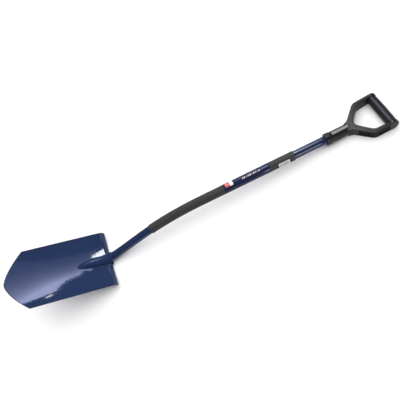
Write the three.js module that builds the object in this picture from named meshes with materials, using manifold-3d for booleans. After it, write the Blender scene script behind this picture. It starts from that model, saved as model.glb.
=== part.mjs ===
// Garden spade with a cranked tubular steel shaft and a moulded YD handle.
// Millimetres. The tool is drawn in the blade's frame: +X runs from the digging tip to the handle,
// +Y to the left and +Z out of the digging face. The outer group then lays it down, face up, on the
// back of its heel and the two eyes of its handle, with the origin under the middle of the whole tool.
import * as THREE from 'three';
import { mergeVertices } from 'three/addons/utils/BufferGeometryUtils.js';
import Module from 'manifold-3d';

const wasm = await Module();
wasm.setup();

// ---- driving dimensions ----
const GAP = 0.3; // air between touching pieces
const SHEET = 2.5; // pressed steel of the blade and its rear plate

const BLADE_HALF_WIDTH = 95.5;
const SHOULDER_X = -249; // where the straight sides end
const TIP_X = -311;
const TIP_POWER = 1.55; // 1 is a plain V, 2 a parabola
const DISH_AT_TREAD = 13;
const DISH_AT_TIP = 8;
const TREAD_CREASE_X = -8;
const TREAD_EDGE_X = 5;
const TREAD_DROP = 8;

const FROG_NOSE_X = -100;
const FROG_HALF_WIDTH = 27;
const FROG_ROUND = 34; // length over which the frog's nose rounds off

const PLATE_NOSE_X = -112;
const PLATE_HEEL_X = 9;
const PLATE_HALF_WIDTH = 40;
const PLATE_NOSE_HALF_WIDTH = 12;
const PLATE_ROUND = 40; // length over which the plate's nose rounds off
const TROUGH_HALF_WIDTH = 20;
const TROUGH_FLAT = 7; // half the flat along the trough's bottom
const HEEL_FLAT_START_X = -12; // the flat under the heel that the tool rests on
const HEEL_CLEARANCE = 4.3; // from the tube down to the start of that flat

const TUBE_RADIUS = 12.7;
const TUBE_WALL = 2;
const TUBE_START = [-60, -16];
const LOWER_BEND = { at: [-4, -16], radius: 110 };
const UPPER_BEND = { at: [178.4, 148], radius: 700 };
const SHAFT_PITCH = THREE.MathUtils.degToRad(24.1);
const BAR_STATION = 693; // grip bar, along the upper shaft from its bend's corner

const SLEEVE_RADIUS = 14.5;
const SLEEVE_BEFORE_BEND = 62;
const SLEEVE_AFTER_BEND = 415;

const LABEL_START = 190;
const LABEL_END = 337;
const BARCODE_START = 362;
const BARCODE_END = 397;
const SEAL_START = 196;
const SEAL_END = 221;
const FILM = 0.4; // thickness of a printed label

const SOCKET_RADIUS = 16.5;
const COLLAR_RADIUS = 18.2;
const COLLAR_LENGTH = 15;
const SOCKET_LENGTH = 84;
const SOCKET_START = BAR_STATION - 178;
const BORE_DEPTH = 62;
const YOKE_STATION = BAR_STATION - 96;
const CANT = THREE.MathUtils.degToRad(5); // the D leans up from the shaft's line
const ARM_HEIGHT = 30;
const ARM_ROOT_X = -112; // where the arms leave the socket, from the grip bar's axis
const EYE_RADIUS = 15.5;
const HANDLE_HALF_WIDTH = 62;
const EYE_THICKNESS = 11;
const GROOVE_DEPTH = 3.5;
const BAR_RADIUS = 15;
const BAR_END_RADIUS = 14;
const SPIGOT_RADIUS = 7;
const SPIGOT_LENGTH = 8;

const BORE_RADIUS = 13.1;
const GROOVE_LOW = 1.5;
const GROOVE_HIGH = 9.5;
const BADGE_START = SOCKET_START + 21;
const BADGE_LENGTH = 52;
const BADGE_WIDTH = 9;
const BADGE_PAD_Z = 15.2; // height of the flat under the badge

const RIVET_STATION = 553;
const RIVET_SHANK = 2.4;
const RIVET_HEAD = 4.6;

const WELD_RADIUS = 1.6;
const NECK_WELD_HALF_ANGLE = THREE.MathUtils.degToRad(78);

const TUBE_SIDES = 18;
const ROUND_SIDES = 20;

// ---- small helpers ----
const finish = (color, roughness, metalness) => new THREE.MeshStandardMaterial({ color, roughness, metalness });

function part(name, geometry, material) {
  const mesh = new THREE.Mesh(geometry, material);
  mesh.name = name;
  return mesh;
}

function toSolid(geometry) {
  const bare = geometry.clone();
  bare.deleteAttribute('normal');
  bare.deleteAttribute('uv');
  const merged = mergeVertices(bare, 1e-4);
  return new wasm.Manifold(new wasm.Mesh({
    numProp: 3,
    vertProperties: new Float32Array(merged.attributes.position.array),
    triVerts: new Uint32Array(merged.index.array),
  }));
}

function toGeometry(solid) {
  const mesh = solid.getMesh();
  const geometry = new THREE.BufferGeometry();
  geometry.setAttribute('position', new THREE.BufferAttribute(new Float32Array(mesh.vertProperties), 3));
  geometry.setIndex(Array.from(mesh.triVerts));
  return geometry;
}

const smoothstep = THREE.MathUtils.smoothstep;
const lerp = THREE.MathUtils.lerp;

// A curved sheet of even upright thickness over a grid. surface(u, v) gives its upper face, with u
// across the sheet from -1 to 1 and v along it from 0 to 1.
function sheetGeometry(columns, rows, surface, thickness) {
  const width = columns.length;
  const positions = [];
  for (const below of [0, thickness]) {
    for (const v of rows) {
      for (const u of columns) {
        const [x, y, z] = surface(u, v);
        positions.push(x, y, z - below);
      }
    }
  }
  const layer = width * rows.length;
  const faces = [];
  const quad = (a, b, c, d) => faces.push(a, b, c, a, c, d);
  for (let j = 0; j + 1 < rows.length; j += 1) {
    for (let i = 0; i + 1 < width; i += 1) {
      const a = j * width + i;
      quad(a, a + 1, a + 1 + width, a + width);
      quad(layer + a, layer + a + width, layer + a + 1 + width, layer + a + 1);
    }
    const left = j * width;
    const right = left + width - 1;
    quad(left, left + width, layer + left + width, layer + left);
    quad(right, layer + right, layer + right + width, right + width);
  }
  for (let i = 0; i + 1 < width; i += 1) {
    const last = (rows.length - 1) * width + i;
    quad(i, layer + i, layer + i + 1, i + 1);
    quad(last, last + 1, layer + last + 1, layer + last);
  }
  const geometry = new THREE.BufferGeometry();
  geometry.setAttribute('position', new THREE.Float32BufferAttribute(positions, 3));
  geometry.setIndex(faces);
  return geometry;
}

const evenly = (count, from, to) => Array.from({ length: count + 1 }, (_, i) => lerp(from, to, i / count));

// ---- the shaft's centreline, in the blade's X-Z plane ----
class ShaftLine extends THREE.Curve {
  constructor() {
    super();
    const direction = [Math.cos(SHAFT_PITCH), Math.sin(SHAFT_PITCH)];
    const reach = SOCKET_START + BORE_DEPTH - 3;
    const end = UPPER_BEND.at.map((value, k) => value + direction[k] * reach);
    this.legs = [];
    let from = new THREE.Vector2(...TUBE_START);
    const corners = [LOWER_BEND, UPPER_BEND];
    corners.forEach((bend, k) => {
      const corner = new THREE.Vector2(...bend.at);
      const after = new THREE.Vector2(...(k + 1 < corners.length ? corners[k + 1].at : end));
      const inward = corner.clone().sub(from).normalize();
      const outward = after.clone().sub(corner).normalize();
      const turn = Math.asin(inward.cross(outward));
      const tangent = bend.radius * Math.tan(Math.abs(turn) / 2);
      const start = corner.clone().addScaledVector(inward, -tangent);
      this.legs.push({ start: from, direction: inward, length: start.distanceTo(from), turn: 0 });
      this.legs.push({ start, direction: inward, length: bend.radius * Math.abs(turn), turn, radius: bend.radius });
      from = corner.clone().addScaledVector(outward, tangent);
      this.last = outward;
    });
    const finishPoint = new THREE.Vector2(...end);
    this.legs.push({ start: from, direction: this.last, length: finishPoint.distanceTo(from), turn: 0 });
    this.total = this.legs.reduce((sum, leg) => sum + leg.length, 0);
  }

  // The point and heading at a distance along the line.
  at(distance) {
    let left = distance;
    let leg = this.legs[0];
    for (const next of this.legs) {
      leg = next;
      if (left <= leg.length) break;
      left -= leg.length;
    }
    left = Math.min(left, leg.length);
    const heading = Math.atan2(leg.direction.y, leg.direction.x);
    if (leg.turn === 0) return { point: leg.start.clone().addScaledVector(leg.direction, left), heading };
    const side = Math.sign(leg.turn);
    const angle = heading + side * (left / leg.radius);
    const dx = side * leg.radius * (Math.sin(angle) - Math.sin(heading));
    const dz = side * leg.radius * (Math.cos(heading) - Math.cos(angle));
    return { point: new THREE.Vector2(leg.start.x + dx, leg.start.y + dz), heading: angle };
  }

  // The point and heading where the line passes a given X.
  over(x) {
    let low = 0;
    let high = this.total;
    for (let i = 0; i < 40; i += 1) {
      const middle = (low + high) / 2;
      if (this.at(middle).point.x < x) low = middle;
      else high = middle;
    }
    return this.at(low);
  }

  getPoint(t, target = new THREE.Vector3()) {
    const { point } = this.at(t * this.total);
    return target.set(point.x, 0, point.y);
  }
}

const shaftLine = new ShaftLine();

// A stretch of the centreline between two distances, as a path of its own.
class Stretch extends THREE.Curve {
  constructor(line, from, to) {
    super();
    this.line = line;
    this.from = from;
    this.to = to;
  }

  getPoint(t, target = new THREE.Vector3()) {
    const { point } = this.line.at(lerp(this.from, this.to, t));
    return target.set(point.x, 0, point.y);
  }
}

// Distance along the line of a station measured along the upper shaft from its bend's corner.
const upperBendLeg = shaftLine.legs[3];
const upperTangent = upperBendLeg.radius * Math.tan(Math.abs(upperBendLeg.turn) / 2);
const upperStart = shaftLine.total - shaftLine.legs[4].length;
const distanceOf = (station) => upperStart + station - upperTangent;

// ---- blade ----
const tipEdgeX = (y) => lerp(TIP_X, SHOULDER_X, Math.pow(Math.abs(y) / BLADE_HALF_WIDTH, TIP_POWER));

function dish(x, y) {
  const depth = lerp(DISH_AT_TIP, DISH_AT_TREAD, smoothstep(x, TIP_X, FROG_NOSE_X));
  return -depth * (1 - (y / BLADE_HALF_WIDTH) ** 2);
}

// Top of the frog on the centreline: it clears the tube, then runs down to the dish at its nose.
function frogCrown(x) {
  const reach = Math.max(x, TUBE_START[0]);
  const { point, heading } = shaftLine.over(reach);
  const overTube = point.y + (TUBE_RADIUS + 3 * GAP + SHEET) / Math.cos(heading);
  const fade = smoothstep(x, FROG_NOSE_X, TUBE_START[0]);
  return lerp(dish(x, 0), overTube, fade);
}

function frogHalfWidth(x) {
  const t = THREE.MathUtils.clamp((x - FROG_NOSE_X) / FROG_ROUND, 0, 1);
  return FROG_HALF_WIDTH * Math.sqrt(1 - (1 - t) ** 2) + 0.01;
}

function face(x, y) {
  const t = Math.min(Math.abs(y) / frogHalfWidth(x), 1);
  const rise = x > FROG_NOSE_X ? frogCrown(x) - dish(x, 0) : 0;
  const frog = rise * Math.pow(1 - t * t, 1.5);
  const beyond = Math.max(0, (x - TREAD_CREASE_X) / (TREAD_EDGE_X - TREAD_CREASE_X));
  const turned = TREAD_DROP * Math.pow(beyond, 1.3) * smoothstep(Math.abs(y), 20, 33);
  return dish(x, y) + frog - turned;
}

function bladeGeometry() {
  const half = [0, 0.055, 0.11, 0.165, 0.22, 0.27, 0.32, 0.4, 0.52, 0.66, 0.8, 0.92, 1];
  const columns = [...half.slice(1).reverse().map((u) => -u), ...half];
  const treadRows = [TREAD_EDGE_X, 1, -3.5, TREAD_CREASE_X];
  const frogRows = evenly(9, -16, FROG_NOSE_X);
  const rows = [...treadRows, ...frogRows, ...evenly(6, -122, SHOULDER_X), -281, TIP_X];
  const surface = (u, row) => {
    const y = u * BLADE_HALF_WIDTH;
    // Beyond the frog the rows bend gradually into the outline of the tip.
    const swept = Math.max(0, (FROG_NOSE_X - row) / (FROG_NOSE_X - TIP_X));
    const x = row + (tipEdgeX(y) - TIP_X) * swept ** 2;
    return [x, y, face(x, y)];
  };
  return sheetGeometry(columns, rows, surface, SHEET);
}

// ---- rear plate that closes the frog from behind ----
// Just behind the blade's back, where the plate's flanges lie.
const behindBlade = (x, y) => dish(x, y) - SHEET - GAP;

function underTube(x) {
  const { point, heading } = shaftLine.over(Math.max(x, TUBE_START[0]));
  return point.y - (TUBE_RADIUS + 3 * GAP) / Math.cos(heading);
}

const along = (pitch, length) => new THREE.Vector2(Math.cos(pitch), Math.sin(pitch)).multiplyScalar(length);
const yoke = new THREE.Vector2(...UPPER_BEND.at).add(along(SHAFT_PITCH, YOKE_STATION));
const barCentre = yoke.clone().add(along(SHAFT_PITCH + CANT, BAR_STATION - YOKE_STATION));
const armRoot = barCentre.clone().add(along(SHAFT_PITCH + CANT, ARM_ROOT_X))
  .add(along(SHAFT_PITCH + CANT - Math.PI / 2, ARM_HEIGHT / 2));

const heelFlatZ = underTube(HEEL_FLAT_START_X) - HEEL_CLEARANCE;

// The pitch of the line from the heel flat that first touches the handle, at its eyes or its arms' root.
const restPitch = Math.min(...[[barCentre, EYE_RADIUS], [armRoot, 0]].map(([point, radius]) => {
  const dx = point.x - HEEL_FLAT_START_X;
  const dz = point.y - (heelFlatZ - SHEET);
  return Math.atan2(dz, dx) - Math.asin(radius / Math.hypot(dx, dz));
}));

// Upper side of the trough's bottom: flush at the nose, level under the tube, then the heel flat.
function troughFloor(x) {
  if (x > HEEL_FLAT_START_X) return heelFlatZ + (x - HEEL_FLAT_START_X) * Math.tan(restPitch);
  const level = underTube(TUBE_START[0]) - GAP;
  const nose = smoothstep(x, PLATE_NOSE_X, TUBE_START[0]);
  const heel = smoothstep(x, HEEL_FLAT_START_X - 20, HEEL_FLAT_START_X);
  return lerp(lerp(behindBlade(x, 0), level, nose), heelFlatZ, heel);
}

function plateHalfWidth(x) {
  const nose = THREE.MathUtils.clamp((x - PLATE_NOSE_X) / PLATE_ROUND, 0, 1);
  const wide = lerp(PLATE_HALF_WIDTH, TROUGH_HALF_WIDTH, smoothstep(x, -24, HEEL_FLAT_START_X));
  return lerp(PLATE_NOSE_HALF_WIDTH, wide, Math.sqrt(1 - (1 - nose) ** 2));
}

function plateGeometry() {
  const flat = 0.3;
  const wallTop = 0.8;
  const half = [0, 0.15, flat, 0.4, 0.5, 0.6, 0.7, wallTop, 1];
  const columns = [...half.slice(1).reverse().map((u) => -u), ...half];
  const rows = [PLATE_HEEL_X, 2, -5, HEEL_FLAT_START_X, -18, -24, -32, -44, -60, -72, -84, -96, -105, PLATE_NOSE_X];
  const surface = (u, x) => {
    const side = Math.sign(u);
    const reach = Math.abs(u);
    const shoulder = Math.min(TROUGH_HALF_WIDTH, plateHalfWidth(x)) - 2;
    const floor = troughFloor(x);
    if (reach <= flat) return [x, side * TROUGH_FLAT * (reach / flat), floor];
    if (reach <= wallTop) {
      const climb = (reach - flat) / (wallTop - flat);
      return [x, side * lerp(TROUGH_FLAT, shoulder, climb), lerp(floor, behindBlade(x, shoulder), climb ** 1.6)];
    }
    const y = side * lerp(shoulder, plateHalfWidth(x), (reach - wallTop) / (1 - wallTop));
    return [x, y, behindBlade(x, y)];
  };
  return sheetGeometry(columns, rows, surface, SHEET);
}

// ---- round things along the shaft ----
function ringShape(outer, inner) {
  const shape = new THREE.Shape();
  shape.absarc(0, 0, outer, 0, 2 * Math.PI, false);
  const hole = new THREE.Path();
  hole.absarc(0, 0, inner, 0, 2 * Math.PI, true);
  shape.holes.push(hole);
  return shape;
}

function discShape(radius) {
  const shape = new THREE.Shape();
  shape.absarc(0, 0, radius, 0, 2 * Math.PI, false);
  return shape;
}

function sweep(shape, path, steps, sides) {
  const options = { steps, bevelEnabled: false, extrudePath: path, curveSegments: sides / 2 };
  return new THREE.ExtrudeGeometry(shape, options);
}

// A curved film on the shaft, between two stations. Angles are from the top towards -Y, in degrees.
function filmGeometry(innerRadius, from, to, firstAngle, lastAngle, sides) {
  const a = THREE.MathUtils.degToRad(180 + firstAngle);
  const b = THREE.MathUtils.degToRad(180 + lastAngle);
  const shape = new THREE.Shape();
  shape.absarc(0, 0, innerRadius + FILM, a, b, false);
  shape.absarc(0, 0, innerRadius, b, a, true);
  const film = new THREE.ExtrudeGeometry(shape, { depth: to - from, bevelEnabled: false, curveSegments: sides / 2 });
  return film.rotateY(Math.PI / 2).translate(from, 0, 0);
}

// The shaft's own frame: +X along the upper shaft from its bend's corner, +Z out of the face side.
function shaftFrame() {
  const frame = new THREE.Group();
  frame.position.set(UPPER_BEND.at[0], 0, UPPER_BEND.at[1]);
  frame.rotation.y = -SHAFT_PITCH;
  frame.updateMatrix();
  return frame;
}

// A drill through the socket's and the tube's lower wall, in the shaft's frame.
function rivetDrill() {
  const drill = new THREE.CylinderGeometry(RIVET_SHANK + GAP, RIVET_SHANK + GAP, SOCKET_RADIUS, 10);
  return drill.rotateX(Math.PI / 2).translate(RIVET_STATION, 0, -SOCKET_RADIUS / 2 - 6);
}

function tubeGeometry() {
  const tube = sweep(ringShape(TUBE_RADIUS, TUBE_RADIUS - TUBE_WALL), shaftLine, 44, TUBE_SIDES);
  const drill = rivetDrill().applyMatrix4(shaftFrame().matrix);
  return toGeometry(toSolid(tube).subtract(toSolid(drill)));
}

function sleeveGeometry() {
  const path = new Stretch(shaftLine, distanceOf(-SLEEVE_BEFORE_BEND), distanceOf(SLEEVE_AFTER_BEND));
  return sweep(ringShape(SLEEVE_RADIUS, TUBE_RADIUS + 0.4), path, 20, ROUND_SIDES);
}

// ---- weld beads ----
class WeldLine extends THREE.Curve {
  constructor(place) {
    super();
    this.place = place;
  }

  getPoint(t, target = new THREE.Vector3()) {
    return target.set(...this.place(t));
  }
}

// The bead over the tube, where the frog's rim lets it out.
function neckWeldGeometry() {
  const x = TREAD_EDGE_X + GAP + WELD_RADIUS;
  const { point, heading } = shaftLine.over(x);
  const offset = TUBE_RADIUS + 3 * GAP + WELD_RADIUS;
  const line = new WeldLine((t) => {
    const angle = lerp(-NECK_WELD_HALF_ANGLE, NECK_WELD_HALF_ANGLE, t);
    return [x, offset * Math.sin(angle), point.y + (offset * Math.cos(angle)) / Math.cos(heading)];
  });
  return sweep(discShape(WELD_RADIUS), line, 16, 6);
}

// The bead along one flange of the rear plate, from its nose to the heel.
function plateWeldGeometry(side) {
  const line = new WeldLine((t) => {
    const x = lerp(PLATE_NOSE_X + 8, -28, t);
    const y = plateHalfWidth(x) + GAP + WELD_RADIUS;
    return [x, side * y, behindBlade(x, y) - WELD_RADIUS];
  });
  return sweep(discShape(WELD_RADIUS), line, 12, 6);
}

// ---- handle ----
// A closed outline whose corners are rounded; each corner is [x, y, distance cut back].
function roundedOutline(corners) {
  const shape = new THREE.Shape();
  corners.forEach(([x, y, cut], i) => {
    const corner = new THREE.Vector2(x, y);
    const before = new THREE.Vector2(...corners[(i + corners.length - 1) % corners.length].slice(0, 2));
    const after = new THREE.Vector2(...corners[(i + 1) % corners.length].slice(0, 2));
    const start = corner.clone().lerp(before, cut / corner.distanceTo(before));
    const end = corner.clone().lerp(after, cut / corner.distanceTo(after));
    if (i === 0) shape.moveTo(start.x, start.y);
    else shape.lineTo(start.x, start.y);
    if (cut > 0) shape.quadraticCurveTo(x, y, end.x, end.y);
  });
  shape.closePath();
  return shape;
}

function slab(shape, low, high) {
  const block = new THREE.ExtrudeGeometry(shape, { depth: high - low, bevelEnabled: false, curveSegments: 3 });
  return block.translate(0, 0, low);
}

const mirrored = (points) => [...points, ...points.slice().reverse().map(([x, y, cut]) => [x, -y, cut])];

// The two arms in plan, with X measured from the grip bar's axis.
const ARM_OUTER = [[ARM_ROOT_X, 13, 0], [-99, 17, 6], [-57, 61, 9], [0, HANDLE_HALF_WIDTH, 0]];
const ARM_INNER = [[0, HANDLE_HALF_WIDTH - EYE_THICKNESS, 0], [-17, HANDLE_HALF_WIDTH - EYE_THICKNESS, 0],
  [-51, 49, 9], [-85, 8, 6]];
const GROOVE = [[-93, 30, 0], [-59, 66, 0], [-12, 70, 0], [-12, HANDLE_HALF_WIDTH - GROOVE_DEPTH - 0.6, 0],
  [-54.6, 57.9, 5], [-86, 25, 0]];

// One eye takes the bar's spigot; side is 1 or -1.
function eye(radius, length, innerY, side) {
  const round = new THREE.CylinderGeometry(radius, radius, length, ROUND_SIDES);
  return toSolid(round.translate(0, side * (innerY + length / 2), 0));
}

function armsSolid() {
  const plan = roundedOutline(mirrored([...ARM_OUTER, ...ARM_INNER]));
  let arms = toSolid(slab(plan, -ARM_HEIGHT / 2, ARM_HEIGHT / 2));
  const innerY = HANDLE_HALF_WIDTH - EYE_THICKNESS;
  for (const side of [1, -1]) {
    arms = arms.add(eye(EYE_RADIUS, EYE_THICKNESS, innerY, side));
    arms = arms.subtract(eye(SPIGOT_RADIUS + GAP, SPIGOT_LENGTH + GAP + 1, innerY - 1, side));
    const plane = roundedOutline(side > 0 ? GROOVE : GROOVE.map(([x, y, cut]) => [x, -y, cut]).reverse());
    arms = arms.subtract(toSolid(slab(plane, GROOVE_LOW, GROOVE_HIGH)));
    arms = arms.subtract(toSolid(slab(plane, -GROOVE_HIGH, -GROOVE_LOW)));
  }
  return arms;
}

function handleGeometry() {
  const profile = [
    [0, BORE_DEPTH], [BORE_RADIUS, BORE_DEPTH], [BORE_RADIUS, 0], [COLLAR_RADIUS - 1, 0],
    [COLLAR_RADIUS, 1.2], [COLLAR_RADIUS, COLLAR_LENGTH - 1], [SOCKET_RADIUS, COLLAR_LENGTH + 1],
    [SOCKET_RADIUS, SOCKET_LENGTH - 20], [SOCKET_RADIUS - 3, SOCKET_LENGTH], [0, SOCKET_LENGTH],
  ];
  const lathe = new THREE.LatheGeometry(profile.map(([r, h]) => new THREE.Vector2(r, h)), ROUND_SIDES);
  const socket = toSolid(lathe.rotateZ(-Math.PI / 2).translate(SOCKET_START, 0, 0));
  const pad = new THREE.BoxGeometry(BADGE_LENGTH + 4, 2 * SOCKET_RADIUS, SOCKET_RADIUS);
  pad.translate(BADGE_START + BADGE_LENGTH / 2, 0, BADGE_PAD_Z + SOCKET_RADIUS / 2);
  const place = cantFrame().matrix;
  const arms = armsSolid().transform(place.elements);
  return toGeometry(socket.subtract(toSolid(pad)).add(arms).subtract(toSolid(rivetDrill())));
}

// The D's own frame in the shaft's frame: origin on the grip bar's axis, leaning up about the yoke.
function cantFrame() {
  const reach = BAR_STATION - YOKE_STATION;
  const frame = new THREE.Group();
  frame.position.set(YOKE_STATION + reach * Math.cos(CANT), 0, reach * Math.sin(CANT));
  frame.rotation.y = -CANT;
  frame.updateMatrix();
  return frame;
}

function barGeometry() {
  const shoulder = HANDLE_HALF_WIDTH - EYE_THICKNESS - GAP;
  const end = shoulder + SPIGOT_LENGTH;
  const upperHalf = [[BAR_RADIUS, 0], [BAR_RADIUS - 0.25, 24], [BAR_END_RADIUS, shoulder],
    [SPIGOT_RADIUS, shoulder], [SPIGOT_RADIUS, end], [0, end]];
  const profile = [...upperHalf.slice(1).reverse().map(([r, h]) => [r, -h]), ...upperHalf];
  return new THREE.LatheGeometry(profile.map(([r, h]) => new THREE.Vector2(r, h)), ROUND_SIDES);
}

function badgeGeometry() {
  const half = BADGE_WIDTH / 2;
  const outline = roundedOutline([[0, -half, 2], [BADGE_LENGTH, -half, 2], [BADGE_LENGTH, half, 2], [0, half, 2]]);
  return slab(outline, BADGE_PAD_Z + GAP, BADGE_PAD_Z + GAP + 1.4).translate(BADGE_START, 0, 0);
}

// A blind rivet up through the socket and the tube from below, with its set end inside the tube.
function rivetGeometry() {
  const profile = [[0, 8], [3.2, 8], [3.2, 9.7], [RIVET_SHANK, 9.7], [RIVET_SHANK, SOCKET_RADIUS + GAP],
    [RIVET_HEAD, SOCKET_RADIUS + GAP], [RIVET_HEAD - 1, SOCKET_RADIUS + 1.5], [0, SOCKET_RADIUS + 2]];
  const lathe = new THREE.LatheGeometry(profile.map(([r, h]) => new THREE.Vector2(r, h)), 10);
  return lathe.rotateX(-Math.PI / 2).translate(RIVET_STATION, 0, 0);
}

// ---- assembly ----
const paint = () => finish(0x25305f, 0.3, 0.35);
const blackPlastic = () => finish(0x2b2b2e, 0.55, 0);

const tool = new THREE.Group();
tool.add(part('blade', bladeGeometry(), paint()));
tool.add(part('frog_plate', plateGeometry(), paint()));
tool.add(part('plate_weld_left', plateWeldGeometry(1), paint()));
tool.add(part('plate_weld_right', plateWeldGeometry(-1), paint()));
tool.add(part('neck_weld', neckWeldGeometry(), paint()));
tool.add(part('shaft_tube', tubeGeometry(), finish(0x1b2450, 0.25, 0.4)));
tool.add(part('shaft_sleeve', sleeveGeometry(), finish(0x2c2d30, 0.6, 0)));

const shaft = shaftFrame();
const overSleeve = SLEEVE_RADIUS + 0.35;
const overLabel = overSleeve + FILM + 0.35;
const label = filmGeometry(overSleeve, LABEL_START, LABEL_END, -176, 176, ROUND_SIDES);
shaft.add(part('sleeve_label', label, finish(0x2a3062, 0.3, 0)));
const seal = filmGeometry(overLabel, SEAL_START, SEAL_END, -66, 28, 8);
shaft.add(part('seal_sticker', seal, finish(0xc85050, 0.4, 0)));
const barcode = filmGeometry(overSleeve, BARCODE_START, BARCODE_END, 48, 106, 6);
shaft.add(part('barcode_sticker', barcode, finish(0xd8d8d8, 0.5, 0)));
shaft.add(part('handle_moulding', handleGeometry(), blackPlastic()));
shaft.add(part('socket_badge', badgeGeometry(), finish(0x8f9094, 0.5, 0)));
shaft.add(part('handle_rivet', rivetGeometry(), finish(0x9a9a9a, 0.3, 0.9)));
const grip = cantFrame();
grip.add(part('grip_bar', barGeometry(), finish(0x303036, 0.5, 0)));
shaft.add(grip);
tool.add(shaft);

// Lay the tool down on its heel and handle, and centre it over the origin.
const spade = new THREE.Group();
spade.add(tool);
tool.rotation.y = restPitch;
const box = new THREE.Box3().setFromObject(spade, true);
tool.position.set(-(box.min.x + box.max.x) / 2, -(box.min.y + box.max.y) / 2, -box.min.z);

export default spade;
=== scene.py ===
"""Garden spade with a cranked tubular shaft and a moulded YD handle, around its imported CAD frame.

Shapes are worked out in millimetres in three nested frames. The blade's frame has +X from the digging
tip to the handle and +Z out of the digging face. The shaft's frame runs along the upper shaft from its
bend's corner. The grip's frame sits on the grip bar's axis. Each frame's matrix ends in metres on the
floor, where the tool lies face up on its heel and handle.
"""
import math

import bmesh
import bpy
import numpy as np
from bpy.props import FloatProperty, FloatVectorProperty, IntProperty, PointerProperty
from bpy.types import Operator, Panel, PropertyGroup
from mathutils import Matrix, Vector


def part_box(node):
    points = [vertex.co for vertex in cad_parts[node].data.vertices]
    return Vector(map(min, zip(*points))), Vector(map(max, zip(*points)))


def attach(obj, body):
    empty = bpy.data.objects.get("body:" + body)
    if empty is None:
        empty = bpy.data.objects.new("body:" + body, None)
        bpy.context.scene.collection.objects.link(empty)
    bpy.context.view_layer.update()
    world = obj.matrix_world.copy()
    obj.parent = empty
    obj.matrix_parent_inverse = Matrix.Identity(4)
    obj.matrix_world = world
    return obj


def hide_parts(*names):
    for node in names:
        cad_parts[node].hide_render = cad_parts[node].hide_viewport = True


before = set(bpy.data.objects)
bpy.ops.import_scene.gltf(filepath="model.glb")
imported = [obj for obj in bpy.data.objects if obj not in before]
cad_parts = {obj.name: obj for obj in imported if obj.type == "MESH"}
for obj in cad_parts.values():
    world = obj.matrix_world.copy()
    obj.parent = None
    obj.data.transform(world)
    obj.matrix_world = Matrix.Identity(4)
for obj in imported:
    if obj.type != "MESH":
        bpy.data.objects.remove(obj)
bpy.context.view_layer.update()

bl_info = {
    "name": "Garden Spade",
    "version": (1, 0, 0),
    "blender": (4, 5, 0),
    "location": "View3D > Sidebar > Spade",
    "description": "Builds a garden spade piece by piece around its CAD frame",
    "category": "Add Mesh",
}

BODY = "root"
MM = 0.001

# ---- driving dimensions, in millimetres, as the CAD has them ----
GAP = 0.3
BLADE_HALF_WIDTH = 95.5
SHOULDER_X = -249.0
TIP_X = -311.0
TIP_POWER = 1.55
DISH_AT_TREAD = 13.0
DISH_AT_TIP = 8.0
TREAD_CREASE_X = -8.0
TREAD_EDGE_X = 5.0
TREAD_DROP = 8.0
TREAD_CORNER = 2.5
FROG_NOSE_X = -100.0
SHEET = 2.5

PLATE_NOSE_X = -112.0
PLATE_HEEL_X = 9.0
PLATE_HALF_WIDTH = 40.0
PLATE_NOSE_HALF_WIDTH = 12.0
PLATE_ROUND = 40.0
TROUGH_HALF_WIDTH = 20.0
TROUGH_FLAT = 7.0
HEEL_FLAT_START_X = -12.0
HEEL_CLEARANCE = 4.3

TUBE_RADIUS = 12.7
TUBE_WALL = 2.0
TUBE_START = (-60.0, -16.0)
LOWER_CORNER = (-4.0, -16.0)
LOWER_BEND_RADIUS = 110.0
UPPER_CORNER = (178.4, 148.0)
UPPER_BEND_RADIUS = 700.0
SHAFT_PITCH = math.radians(24.1)
BAR_STATION = 693.0

SLEEVE_RADIUS = 14.5
SLEEVE_BEFORE_BEND = 62.0
SLEEVE_AFTER_BEND = 415.0
LABEL_START = 190.0
LABEL_END = 337.0
BARCODE_START = 362.0
BARCODE_END = 397.0
SEAL_START = 196.0
SEAL_END = 221.0

SOCKET_RADIUS = 16.5
COLLAR_RADIUS = 18.2
COLLAR_LENGTH = 15.0
SOCKET_LENGTH = 84.0
SOCKET_START = BAR_STATION - 178.0
BORE_DEPTH = 62.0
BORE_RADIUS = 13.1
YOKE_STATION = BAR_STATION - 96.0
CANT = math.radians(5.0)
ARM_HEIGHT = 30.0
ARM_ROOT_X = -112.0
EYE_RADIUS = 15.5
HANDLE_HALF_WIDTH = 62.0
EYE_THICKNESS = 11.0
GROOVE_DEPTH = 3.5
GROOVE_LOW = 1.5
GROOVE_HIGH = 9.5
BAR_RADIUS = 15.0
BAR_END_RADIUS = 14.0
SPIGOT_RADIUS = 7.0
SPIGOT_LENGTH = 8.0
BADGE_START = SOCKET_START + 21.0
BADGE_LENGTH = 52.0
BADGE_WIDTH = 9.0
BADGE_PAD_Z = 15.2
RIVET_STATION = 553.0
RIVET_HEAD = 4.6
RIVET_SHANK = 2.4


# ---- frames ----
def turn_y(angle):
    """The 4 x 4 matrix that turns +X towards -Z by an angle."""
    c, s = math.cos(angle), math.sin(angle)
    return np.array([[c, 0, s, 0], [0, 1, 0, 0], [-s, 0, c, 0], [0, 0, 0, 1]], float)


def shift(x, y, z):
    matrix = np.eye(4)
    matrix[:3, 3] = (x, y, z)
    return matrix


def along(pitch, length):
    return np.array([math.cos(pitch) * length, math.sin(pitch) * length])


# ---- small maths ----
def smoothstep(x, low, high):
    t = np.clip((np.asarray(x, float) - low) / (high - low), 0, 1)
    return t * t * (3 - 2 * t)


def lerp(a, b, t):
    return a + (b - a) * t


def soft_max(a, b, blend):
    """The larger of two heights, with a fillet where they meet."""
    h = np.clip(0.5 + 0.5 * (a - b) / blend, 0, 1)
    return lerp(b, a, h) + blend * h * (1 - h)


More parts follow.
